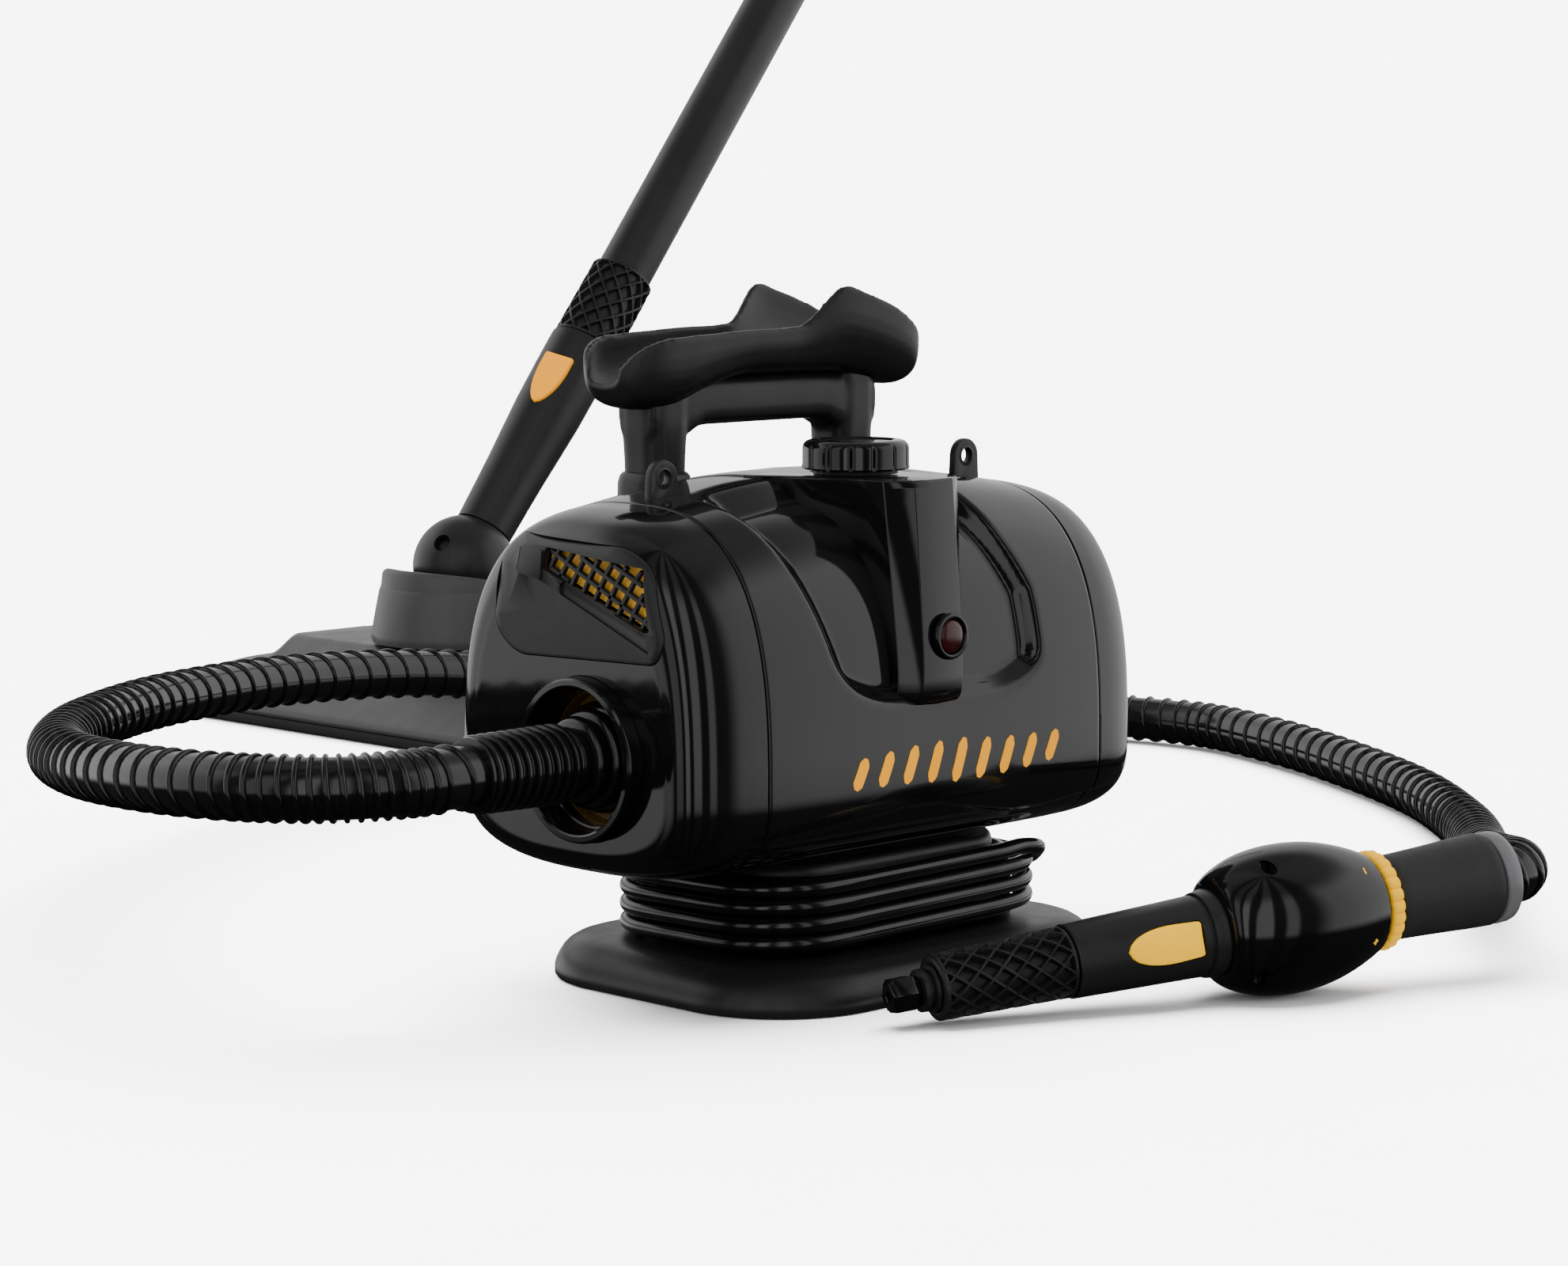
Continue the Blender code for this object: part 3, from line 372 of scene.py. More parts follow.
def wound_hose(name, route):
    """Smooth tube with a round wire wound on it as one spiral ridge; the turns close up in the bends."""
    line, length = even(sweep(route, 24), 0.002)
    tan, n, b = frames_on(line)
    at = np.linspace(0.0, length, len(line))
    bend = np.linalg.norm(np.gradient(tan, at, axis=0), axis=1)
    bend = np.convolve(bend, np.ones(15) / 15, mode="same")
    pitch = np.clip(LONG_PITCH - PITCH_PER_BEND * bend, SHORT_PITCH, LONG_PITCH)
    phase = np.concatenate([[0.0], np.cumsum(np.diff(at) / pitch[1:])])
    # the winding runs on past both ends and is trimmed square there
    spare = 3
    turns = int(phase[-1]) + spare
    phase = np.concatenate([[-spare], phase, [phase[-1] + spare]])
    reach = np.concatenate([[-spare * pitch[0]], at, [length + spare * pitch[-1]]])
    across = 30
    wire = [math.radians(a) for a in range(0, 181, 30)]
    gap_at = (0.08, 0.5, 0.92)
    per_turn = len(wire) + len(gap_at)
    rows = turns * per_turn + 1
    points, stands, faces, marks = [], [], [], []
    for k in range(rows):
        step, before = k % per_turn, k // per_turn - 1
        for j in range(across):
            angle = 2 * math.pi * j / across
            start, following = np.interp([before + j / across, before + 1 + j / across], phase, reach)
            if step < len(wire):
                s, r = start + WIRE_D / 2 * (1 - math.cos(wire[step])), TUBE_R + WIRE_PROUD * math.sin(wire[step])
            else:
                s, r = start + WIRE_D + (following - start - WIRE_D) * gap_at[step - len(wire)], TUBE_R
            if not 0.0 < s < length:
                s, r = min(max(s, 0.0), length), TUBE_R
            stands.append(s)
            c, nn, bb = (np.array([np.interp(s, at, m[:, i]) for i in range(3)]) for m in (line, n, b))
            points.append(tuple(c + r * (math.cos(angle) * nn + math.sin(angle) * bb)))
    for k in range(rows - 1):
        for j in range(across):
            here, after = k * across + j, (k + 1) * across + j
            if j + 1 < across:
                quad = (here, here + 1, after + 1, after)
            elif k + per_turn + 1 < rows:
                quad = (here, (k + per_turn) * across, (k + per_turn + 1) * across, after)
            else:
                continue
            if len({stands[q] for q in quad}) > 1:
                faces.append(quad)
                marks.append(int(k % per_turn < len(wire) - 1))
    shape = Shape()
    shape.points, shape.faces, shape.marks = points, faces, marks
    return shape.make(name), line, length


hose, hose_line, hose_length = wound_hose("steam_hose_wound", HOSE_ROUTE)
piece(hose, "canister", "rubber", [HOSE, WIRE], "steam_hose", angle=38)

# mains cable: out of the gland, once behind the body, then two layers round the neck to the plug
LEAD_START = [
    (0.09, 0.0915, 0.095), (0.09, 0.1053, 0.095), (0.0898, 0.11, 0.095), (0.087, 0.1175, 0.0935),
    (0.078, 0.125, 0.088), (0.062, 0.127, 0.081), (0.044, 0.12, 0.0735), (0.026, 0.106, 0.0665),
    (0.01, 0.092, 0.0625), (-0.006, 0.079, 0.0608), (-0.022, 0.068, 0.06), (-0.038, 0.059, 0.058)]
PLUG_X, PLUG_Z = 0.1106, 0.039
LAYER_TOP, LAYER_LOW, LAYER_STEP, PER_LAP = 0.0568, 0.0246, 0.0086, 32


def lap_point(t, hx, hy, r):
    """Point at share t of a counter-clockwise turn round a rounded oblong, from the back's middle."""
    sx, sy, corner = hx - r, hy - r, math.pi / 2 * r
    legs = [sx, corner, 2 * sy, corner, 2 * sx, corner, 2 * sy, corner, sx]
    d = t * sum(legs)
    leg = 0
    while leg < 8 and d > legs[leg]:
        d -= legs[leg]
        leg += 1
    s, c = math.sin(d / r), math.cos(d / r)
    return ((-d, hy), (-sx - r * s, sy + r * c), (-hx, sy - d), (-sx - r * c, -sy - r * s), (-sx + d, -hy),
            (sx + r * s, -sy - r * c), (hx, -sy + d), (sx + r * c, sy + r * s), (sx - d, hy))[leg]


def cable_route():
    """Four laps down against the neck, then four laps up over them and across to the plug."""
    route = list(LEAD_START)
    for k in range(3, 4 * PER_LAP):
        t = k / PER_LAP
        grow = ease((t - 3.55) / 0.4)
        x, y = lap_point(t % 1.0, 0.0892 + 0.0083 * grow, 0.0552 + 0.0083 * grow, 0.0392 + 0.002 * grow)
        route.append((x, y, LAYER_TOP - (LAYER_TOP - LAYER_LOW) * min(1.0, t / 3.3)))
    for k in range(117):
        t = k / PER_LAP
        x, y = lap_point(t % 1.0, 0.0975, 0.0635, 0.0412)
        route.append((x, y, LAYER_LOW + LAYER_STEP * t))
    route += [(0.085, -0.0585, 0.054), (0.0985, -0.048, 0.05), (0.1075, -0.0355, 0.044),
              (PLUG_X, -0.025, 0.0405), (PLUG_X, -0.019, 0.0392), (PLUG_X, -0.012, PLUG_Z), (PLUG_X, 0.0, PLUG_Z)]
    return route


cable_line, cable_length = even(sweep(cable_route(), 4), 0.0025)
cable = Shape().rows(tube_rows(cable_line, CABLE_D / 2, 14)).make("mains_cable")
piece(cable, "canister", "rubber", CABLE, "mains_lead", "mains_cord_winding", angle=60)

RELIEF_LENGTH, RELIEF_RIB, RELIEF_FLANGE = 0.027, 0.003, 0.006
relief_line, _ = even(sweep(LEAD_START[:4], 10), 0.0005)
reach = np.concatenate([[0], np.cumsum(np.linalg.norm(np.diff(relief_line, axis=0), axis=1))])
relief_line, reach = relief_line[reach < RELIEF_LENGTH], reach[reach < RELIEF_LENGTH]
swell = 0.0082 - 0.0034 * reach / RELIEF_LENGTH
swell += np.where(reach > RELIEF_FLANGE, 0.0007 * (np.sin(reach / RELIEF_RIB * 2 * math.pi) > 0), 0.0018)
relief = Shape().rows(tube_rows(relief_line, swell, 32)).make("strain_relief")
piece(relief, "canister", "rubber", RUBBER, "cord_gland")

plug = Shape().rows([[(PLUG_X + hx * bent(math.cos(a), 0.55), y, PLUG_Z + hz * bent(math.sin(a), 0.55))
                      for a in np.linspace(0, 2 * math.pi, 48, endpoint=False)]
                     for y, hx, hz in (
    (0.0238, 0.007, 0.0105), (0.0233, 0.0076, 0.0113), (0.022, 0.0078, 0.0115), (0.008, 0.008, 0.012),
    (0.006, 0.0078, 0.0117), (0.0055, 0.007, 0.0108), (0.004, 0.007, 0.0108), (0.0035, 0.0077, 0.0114),
    (-0.001, 0.0074, 0.01), (-0.006, 0.0062, 0.008), (-0.01, 0.0052, 0.006), (-0.0105, 0.0045, 0.005),
    (-0.0125, 0.0045, 0.005), (-0.013, 0.005, 0.0054), (-0.016, 0.0047, 0.005), (-0.0165, 0.0042, 0.0044),
    (-0.0185, 0.0042, 0.0044), (-0.019, 0.0046, 0.0047), (-0.02, 0.0044, 0.0044))]).make("mains_plug_body")
piece(plug, "canister", "rubber", RUBBER, "mains_plug")
for index, low in enumerate((0.03, 0.042)):
    blade = Shape().box((PLUG_X, 0.0331, low + 0.003), ((1, 0, 0), (0, 1, 0), (0, 0, 1)), (0.0015, 0.0178, 0.006))
    blade = soften(blade.make(f"plug_pin_{index + 1}"), 0.0004, 3)
    piece(blade, "canister", "brass", BRASS, f"plug_blade_{index + 1}")

# ------------------------------------------------------------------ base plate and neck
PLATE_X, PLATE_Y, PLATE_R, PAD_X, PAD_Y = 0.127, 0.093, 0.057, 0.088, 0.056
plate_profile = ((0.001, 0.0), (0.0, 0.0012), (0.0, 0.005), (0.0006, 0.0072), (0.0022, 0.0105), (0.0042, 0.0136),
                 (0.0068, 0.0161), (0.01, 0.018), (0.014, 0.0193), (0.018, 0.0198), (0.03, 0.02))
plate = Shape().rows([corner_ring(PLATE_X - i, PLATE_Y - i, PLATE_R - i, z, 24) for i, z in plate_profile])
piece(plate.make("base_plate_moulding"), "canister", "satin_black", SATIN, "base_plate", angle=40)
for index, (px, py) in enumerate(((-PAD_X, -PAD_Y), (PAD_X, -PAD_Y), (-PAD_X, PAD_Y), (PAD_X, PAD_Y))):
    pad = lathe(f"foot_pad_disc_{index + 1}", ((0.0, 0.0078), (0.0004, 0.0085), (0.0027, 0.0085)), (px, py, 0.0),
                (0, 0, 1), 40)
    piece(pad, "canister", "rubber", RUBBER, f"foot_pad_{index + 1}")
neck = Shape().rows([corner_ring(0.0838 - i, 0.0498 - i, 0.0338 - i, z, 16) for i, z in (
    (0.0, 0.0203), (0.0, 0.057), (0.0008, 0.06), (0.002, 0.0612))])
piece(neck.make("neck_core"), "canister", "satin_black", SATIN, "neck_pedestal")

# ------------------------------------------------------------------ body shells
CENTRE_X, BODY_X, SEAM_X, SEAM_GAP = -0.0165, 0.153, 0.113, 0.00025
BODY_Y, BODY_MID, BODY_UP, BODY_DOWN, BODY_POWER, WALL = 0.093, 0.105, 0.137, 0.043, 2.8, 0.003
END_STEPS = np.array((
    (0.0, 1.0, 1.0, 1.0), (0.045, 1.0, 0.99, 1.0), (0.085, 0.988, 0.955, 1.0), (0.113, 0.965, 0.925, 1.0),
    (0.128, 0.94, 0.908, 0.985), (0.14, 0.895, 0.88, 0.94), (0.148, 0.835, 0.835, 0.87),
    (0.152, 0.765, 0.78, 0.79), (0.153, 0.69, 0.715, 0.7)))
STATIONS = sweep([tuple(r[:3]) for r in END_STEPS], 24)
LOWER = [low for _, low in sweep_flat(END_STEPS[:, (0, 3)], 24)]
AROUND, END_AROUND = 400, 260
DISH_DEPTH, CREASE_DEPTH, END_MIDDLE = 0.009, 0.0034, 0.136
BOSS_X, BOSS_LOW, BOSS_TOP, LAMP_Z = -0.019, 0.137, 0.2415, 0.1695
CREASE = ((-0.15, 0.079), (-0.116, 0.0866), (-0.09, 0.088), (-0.0645, 0.0908), (-0.04, 0.093), (-0.0165, 0.092),
          (0.0054, 0.0875), (0.0334, 0.0822), (0.0619, 0.0815), (0.0851, 0.0838), (0.11, 0.086))


def dished(x, y, z):
    """Depth of the smooth dish round the boss: slanted sides, rounded foot, open at the top."""
    left = -0.0865 - 0.3 * (z - 0.151)
    right = np.where(z < 0.187, 0.0545 - 0.02 * (z - 0.153), 0.0538 - 0.42 * (z - 0.187))
    foot = 0.1375 + 9.0 * np.maximum(0.0, np.abs(x + 0.014) - 0.03) ** 2
    inside = ease((x - left) / 0.015) * ease((right - x) / 0.011) * ease((z - foot) / 0.013)
    return DISH_DEPTH * inside * ease((-0.016 - y) / 0.022)


def body_ring(x, grow=0.0, count=AROUND):
    """Ring of the shell's surface at x from its middle, moved out by grow."""
    at = abs(x)
    depth = np.interp(at, STATIONS[:, 0], STATIONS[:, 1])
    top = np.interp(at, STATIONS[:, 0], STATIONS[:, 2])
    low = np.interp(at, STATIONS[:, 0], LOWER)
    return ring_of(depth, top, low, CENTRE_X + x, grow, count)


def ring_of(depth, top, low, stands, grow=0.0, count=AROUND):
    """Rounded oblong ring with the dish and the step under the crease pressed into its front."""
    a = 2 * np.pi * (np.arange(count) + 0.5) / count
    c, s = np.cos(a), np.sin(a)
    height = np.where(s > 0, BODY_UP * top, BODY_DOWN * low)
    y = np.copysign(np.abs(c) ** (2 / BODY_POWER), c) * (BODY_Y * depth + grow)
    z = np.copysign(np.abs(s) ** (2 / BODY_POWER), s) * (height + grow)
    p = np.column_stack([np.full(count, stands), y, BODY_MID + z])
    inward = np.column_stack([np.zeros(count), -p[:, 1], 0.13 - p[:, 2]])
    inward /= np.linalg.norm(inward, axis=1)[:, None]
    sink = np.where(p[:, 1] > 0, 0.0, dished(stands, p[:, 1], p[:, 2]))
    p = p + inward * sink[:, None]
    line = np.interp(stands, [k[0] for k in CREASE], [k[1] for k in CREASE])
    fade = ease((stands + 0.15) / 0.03) * ease((0.128 - stands) / 0.03)
    p[:, 1] += CREASE_DEPTH * ease((line - p[:, 2]) / 0.003) * ease((-0.02 - p[:, 1]) / 0.03) * fade
    return p


def face_rows(ring):
    """Rings that close a flat end towards its middle."""
    middle = np.array((ring[0][0], 0.0, END_MIDDLE))
    return [middle + (ring - middle) * k for k in (0.97, 0.85, 0.6, 0.3, 0.05)]


def end_shell(sign):
    """Hollow end of the canister; sign is -1 for the left one."""
    stations = [k for k in range(len(STATIONS)) if STATIONS[k, 0] > SEAM_X + 0.0014]
    outer, inner = [], []
    for past, grow in ((SEAM_GAP, -0.0011), (SEAM_GAP + 0.0002, -0.0004), (SEAM_GAP + 0.00075, 0.0)):
        outer.append(body_ring(sign * (SEAM_X + past), grow, count=END_AROUND))
    for k in stations[::3] + [len(STATIONS) - 1]:
        x = CENTRE_X + sign * STATIONS[k, 0]
        outer.append(ring_of(STATIONS[k, 1], STATIONS[k, 2], LOWER[k], x, count=END_AROUND))
    outer += face_rows(outer[-1])
    for k in stations[::6]:
        inner.append(ring_of(STATIONS[k, 1], STATIONS[k, 2], LOWER[k],
                             CENTRE_X + sign * (STATIONS[k, 0] - WALL), -WALL, count=END_AROUND))
    inner.append(ring_of(*END_STEPS[-1][1:], CENTRE_X + sign * (BODY_X - WALL), -WALL, count=END_AROUND))
    inner += face_rows(inner[-1])
    first = [body_ring(sign * (SEAM_X + SEAM_GAP), -WALL, count=END_AROUND)]
    return Shape().rows(list(reversed(inner)) + first + outer)


def edge_surface(y, z, grow=0.0):
    """Place along X of the left end's outer surface over (y, z)."""
    low, high = 0.085, BODY_X
    for _ in range(26):
        mid = 0.5 * (low + high)
        depth = np.interp(mid, STATIONS[:, 0], STATIONS[:, 1]) * BODY_Y
        tall = BODY_UP * np.interp(mid, STATIONS[:, 0], STATIONS[:, 2])
        inside = abs(y / depth) ** BODY_POWER + abs((z - BODY_MID) / tall) ** BODY_POWER < 1.0
        low, high = (mid, high) if inside else (low, mid)
    return CENTRE_X - 0.5 * (low + high) - grow


def end_prism(outline, x0, x1, grow=0.0, drift=0.0):
    """Solid over an outline (y, z), between two places along X."""
    middle = Vector((sum(p[0] for p in outline), sum(p[1] for p in outline))) / len(outline)
    rows = []
    for x, g in ((x0, grow), (x1, grow + drift)):
        row = []
        for p in outline:
            d = (Vector(p) - middle)
            q = Vector(p) + d.normalized() * g
            row.append((x, q.x, q.y))
        rows.append(row)
    return Shape().rows(rows)


PORT_Y, PORT_Z, PORT_R = -0.012, 0.119, 0.0378
VENT = fillet(((0.0475, 0.211), (0.04, 0.2185), (-0.036, 0.216), (-0.052, 0.207),
               (-0.0635, 0.176), (-0.059, 0.1655), (0.034, 0.1632), (0.049, 0.174)), 0.008, 7)
WINDOW = fillet(((0.0125, 0.212), (-0.044, 0.206), (-0.0515, 0.1815), (-0.048, 0.1815), (0.0125, 0.203)), 0.0015, 3)
SLASH = fillet(((0.004, 0.1975), (-0.001, 0.1998), (-0.051, 0.178), (-0.055, 0.17), (0.004, 0.193)), 0.0012, 3)

left_end = end_shell(-1).make("left_end_moulding")
port_hole = Shape().rows(turned_rows(((0.14, PORT_R + 0.0004), (0.2, PORT_R + 0.0004)), (0, PORT_Y, PORT_Z),
                                     (-1, 0, 0), 96)).make("port_hole")
carve(left_end, end_prism(VENT, -0.125, -0.2, 0.0004).make("vent_hole"), port_hole)
piece(left_end, "canister", "gloss_black", GLOSS, "left_end_shell", angle=38)
piece(end_shell(1).make("right_end_moulding"), "canister", "gloss_black", GLOSS, "right_end_shell", angle=38)

half = SEAM_X - SEAM_GAP
spread = [(-half, -0.0011), (-half + 0.0002, -0.0004), (-half + 0.00075, 0.0)]
spread += [(x, 0.0) for x in np.linspace(-half + 0.0022, half - 0.0022, 116)]
spread += [(-x, g) for x, g in reversed(spread[:3])]
centre = [body_ring(x, g) for x, g in spread] + [body_ring(x, -WALL) for x in np.linspace(half, -half, 50)]
piece(Shape().rows(centre, loop=True).make("centre_moulding"), "canister", "gloss_black", GLOSS, "centre_shell",
      angle=38)


def boss_ring(z, front):
    """Outline of the boss at height z: a faceted front, widening upwards, and wings reaching back."""
    t = max(0.0, (z - BOSS_LOW) / (BOSS_TOP - BOSS_LOW))
    back = front + 0.012
    pts = [(-0.0256, front + 0.0085), (-0.0172 + 0.0046 * t, front + 0.0006), (-0.004, front - 0.0006),
           (0.0092 + 0.0035 * t, front + 0.0004), (0.0141 + 0.0078 * t, front + 0.006),
           (0.015 + 0.009 * t, max(back, -0.06)), (0.016 + 0.01 * t, -0.048 + 0.012 * (1 - t)),
           (0.016 + 0.015 * t, -0.004), (-0.0262 - 0.017 * t, -0.004), (-0.0262 - 0.012 * t, -0.03),
           (-0.0262 - 0.005 * t, -0.0443 + 0.012 * (1 - t)), (-0.0256 - 0.002 * t, max(back, -0.066))]
    return [(BOSS_X + x, y, z) for x, y in pts]


boss_rows = [boss_ring(z, y) for z, y in sweep_flat(((0.1372, -0.0905), (0.14, -0.0945), (0.145, -0.0962),
                                                     (0.16, -0.096), (0.2, -0.0915), (0.238, -0.0869)), 6)]
boss_rows += [boss_ring(0.2405, -0.0866), boss_ring(BOSS_TOP, -0.086)]
boss = soften(Shape().rows(boss_rows).make("filler_boss"), 0.0011, 3, 24)
lamp_hole = Shape().rows(turned_rows(((0.07, 0.0094), (0.12, 0.0094)), (BOSS_X, 0.0, LAMP_Z), (0, -1, 0), 48))
carve(boss, lamp_hole.make("lamp_hole"))
piece(boss, "canister", "gloss_black", GLOSS, angle=30)

# ------------------------------------------------------------------ vent cover
VENT_MIDDLE = Vector((-0.006, 0.19))


def cover_rings(grow, steps):
    """Rings over the end surface that close the vent outline towards its middle."""
    rings = []
    for k, lift in steps:
        around = [VENT_MIDDLE + (Vector(p) - VENT_MIDDLE) * k for p in VENT]
        rings.append([(edge_surface(q.x, q.y, grow + lift), q.x, q.y) for q in around])
    return rings


SHARES = (1.0, 0.993, 0.982, 0.93, 0.85, 0.7, 0.5, 0.25, 0.03)
face = cover_rings(0.0008, list(zip(SHARES, (-0.001, -0.0003, *[0.0] * 7))))
lining = cover_rings(-0.0026, [(k, 0.0) for k in SHARES])
cover = Shape().rows(list(reversed(face)) + lining).make("vent_cover_moulding")
carve(cover, end_prism(WINDOW, -0.12, -0.175, 0.0, 0.0042).make("window_cut"))
slash_floor = [(edge_surface(y, z, -0.0008), y, z) for y, z in SLASH]
carve(cover, Shape().rows([slash_floor, [(x - 0.03, y, z) for x, y, z in slash_floor]]).make("slash_cut"))
BLOCK = fillet(((0.0325, 0.2135), (0.016, 0.212), (0.016, 0.1985), (0.0325, 0.201)), 0.0015, 3)
block = [[(edge_surface(y, z, lift), y, z) for y, z in BLOCK] for lift in (0.002, -0.0015)]
carve(cover, Shape().rows(block).make("vent_block"), how="UNION")
soften(cover, 0.00035, 2, 28)
piece(cover, "canister", "satin_black", SATIN, "left_vent_cover")


def clip(outline, point, direction):
    """Where a line crosses a convex outline."""
    hits = []
    n = len(outline)
    for i in range(n):
        a, b = Vector(outline[i]), Vector(outline[(i + 1) % n])
        edge = b - a
        cross = direction.x * edge.y - direction.y * edge.x
        if abs(cross) < 1e-9:
            continue
        gap = a - point
        t = (gap.x * edge.y - gap.y * edge.x) / cross
        u = (gap.x * direction.y - gap.y * direction.x) / cross
        if -1e-6 <= u <= 1 + 1e-6:
            hits.append(t)
    return (min(hits), max(hits)) if len(hits) > 1 else None


LATTICE_MIDDLE, MESH_MIDDLE = Vector((-0.02, 0.197)), Vector((-0.022, 0.196))
BAR_HALF = 0.0011
lattice = Shape()
for angle, gap in ((24, 0.0068), (-58, 0.008)):
    way = Vector((-math.cos(math.radians(angle)), -math.sin(math.radians(angle))))
    across = Vector((-way.y, way.x))
    for k in range(-12, 13):
        start = LATTICE_MIDDLE + across * (k * gap)
        span = clip(WINDOW, start, way)
        if span is None or span[1] - span[0] < 0.002:
            continue
        a, b = start + way * (span[0] - 0.001), start + way * (span[1] + 0.001)
        rows = []
        for t in np.linspace(0, 1, 5):
            q = a + (b - a) * t
            x = edge_surface(q.x, q.y, -0.0018)
            rows.append([(x + dx, q.x + across.x * w, q.y + across.y * w)
                         for dx, w in ((0.0, -BAR_HALF), (-0.0006, -0.0008), (-0.0006, 0.0008), (0.0, BAR_HALF),
                                       (0.0016, BAR_HALF), (0.0016, -BAR_HALF))])
        lattice.rows(rows)
piece(lattice.make("vent_lattice"), "canister", "satin_black", SATIN)
mesh_rows = [[(edge_surface(y, z, -0.0052) + dx, y, z) for y, z in
              [tuple(MESH_MIDDLE + (Vector(p) - MESH_MIDDLE) * k) for p in WINDOW]]
             for dx, k in ((0.0, 0.05), (0.0, 0.5), (0.0, 1.12), (0.0012, 1.12), (0.0012, 0.5), (0.0012, 0.05))]
piece(Shape().rows(mesh_rows).make("vent_mesh_sheet"), "canister", "amber", AMBER, "vent_screen")

# ------------------------------------------------------------------ hose port and boot
port = lathe("hose_port_moulding", (
    (0.148, PORT_R), (0.1755, PORT_R), (0.177, PORT_R - 0.0004), (0.1779, PORT_R - 0.0013),
    (0.178, PORT_R - 0.0034), (0.1774, PORT_R - 0.0042), (0.1755, PORT_R - 0.005), (0.169, PORT_R - 0.0058),
    (0.166, PORT_R - 0.0058), (0.1655, PORT_R - 0.0066), (0.1525, PORT_R - 0.0066), (0.152, 0.011), (0.148, 0.011)),
    (0, PORT_Y, PORT_Z), (-1, 0, 0), 96, loop=True)
piece(port, "canister", "gloss_black", GLOSS, "hose_port_ring", angle=30)
# lining of the port well, coloured dim amber: painted reflection of amber glints, not a part's own colour
glint_sheet = lathe("port_glint_paint", ((0.1527, PORT_R - 0.0068), (0.16, PORT_R - 0.0068), (0.16, PORT_R - 0.0072),
                             (0.1537, PORT_R - 0.008), (0.1537, 0.0257), (0.1527, 0.0257)),
              (0, PORT_Y, PORT_Z), (-1, 0, 0), 64, loop=True)
piece(glint_sheet, "canister", "amber", GLINT_PAINT)


def boot_profile():
    rows = [(0.154, 0.0255), (0.156, 0.0255)]
    for k in range(4):
        s = 0.1575 + k * 0.0072
        r = 0.0258 - 0.002 * k - 0.0004 * k * k
        rows += [(s, r - 0.0022), (s + 0.0006, r - 0.0024), (s + 0.0012, r - 0.0004), (s + 0.0022, r),
                 (s + 0.0048, r - 0.0006), (s + 0.0058, r - 0.0012), (s + 0.0064, r - 0.0028)]
    for k in range(9):
        s = 0.187 + k * 0.0056
        r = 0.0184 - 0.00008 * k
        rows += [(s, r - 0.002), (s + 0.0004, r - 0.0021), (s + 0.0009, r - 0.0004), (s + 0.0018, r),
                 (s + 0.003, r), (s + 0.0039, r - 0.0004), (s + 0.0045, r - 0.002)]
    return rows + [(0.2372, 0.017), (0.2384, 0.0168), (0.2386, 0.016), (0.2386, 0.006), (0.154, 0.006)]


piece(lathe("hose_boot_moulding", boot_profile(), (0, PORT_Y, PORT_Z), (-1, 0, 0), 72, loop=True),
      "canister", "rubber", HOSE, "hose_boot", angle=40)

# ------------------------------------------------------------------ lamp
LAMP_AT = (BOSS_X, -0.0957, LAMP_Z)
bezel = lathe("lamp_bezel_ring", (
    (-0.01, 0.009), (0.0002, 0.009), (0.0002, 0.0105), (0.0008, 0.0109), (0.002, 0.0109), (0.0029, 0.0104),
    (0.0032, 0.0096), (0.0032, 0.009), (0.0028, 0.0085), (0.002, 0.0083), (-0.01, 0.0083)),
    LAMP_AT, (0, -1, 0), 64, loop=True)
piece(bezel, "canister", "satin_black", GLOSS, "indicator_bezel", angle=40)
lens = lathe("lamp_lens_dome", (
    (-0.008, 0.008), (0.0014, 0.0081), (0.0022, 0.0078), (0.0031, 0.0066), (0.0038, 0.0044),
                                (0.0041, 0.002), (0.0042, 0.0003)), LAMP_AT, (0, -1, 0), 64)
piece(lens, "canister", "red_lens", RED, "indicator_lens", angle=50)

# ------------------------------------------------------------------ filler cap
CAP_Y, CAP_R, CAP_TOP = -0.036, 0.0255, 0.2575


def cap_wave(along, r, a):
    height = ease((along - 0.244) / 0.0015) * ease((CAP_TOP - 0.0006 - along) / 0.004)
    groove = max(0.0, math.cos(14 * a)) ** 14
    return r - 0.0014 * groove * float(height) if r > 0.02 else r


cap_profile = [(0.2252, 0.0118), (0.2438, 0.0118), (0.2438, CAP_R - 0.0012), (0.2441, CAP_R - 0.0004),
               (0.2448, CAP_R)]
cap_profile += [(z, CAP_R - 0.0003) for z in (0.246, 0.2475, 0.2495, 0.2515, 0.253)]
for k in range(1, 9):
    a = math.pi / 2 * k / 8
    cap_profile.append((CAP_TOP - 0.004 + 0.004 * math.sin(a), CAP_R - 0.0043 + 0.004 * math.cos(a)))
cap_profile += [(CAP_TOP, CAP_R - 0.0075), (CAP_TOP - 0.0006, CAP_R - 0.0083), (CAP_TOP - 0.0007, CAP_R - 0.012),
                (CAP_TOP - 0.0005, 0.002)]
piece(lathe("filler_cap_moulding", cap_profile, (BOSS_X, CAP_Y, 0.0), (0, 0, 1), 336, wave=cap_wave),
      "cap", "gloss_black", GLOSS, "filler_cap", angle=40)

# ------------------------------------------------------------------ handle and cradle
HANDLE_X, HANDLE_Y, POST_X, BAR_LOW, BAR_TOP = -0.009, 0.045, 0.0635, 0.262, 0.286
CRADLE = (
    (-0.1055, 0.012, 0.29, 0.281), (-0.1, 0.0195, 0.2985, 0.274), (-0.088, 0.0245, 0.304, 0.271),
    (-0.072, 0.026, 0.3055, 0.272), (-0.052, 0.0262, 0.3065, 0.279), (-0.03, 0.0262, 0.3075, 0.2845),
    (-0.005, 0.0265, 0.308, 0.285), (0.006, 0.0275, 0.311, 0.285), (0.024, 0.032, 0.3265, 0.2845),
    (0.04, 0.033, 0.3235, 0.284), (0.062, 0.032, 0.316, 0.28), (0.078, 0.029, 0.307, 0.277),
    (0.085, 0.024, 0.299, 0.279), (0.0885, 0.015, 0.293, 0.283))


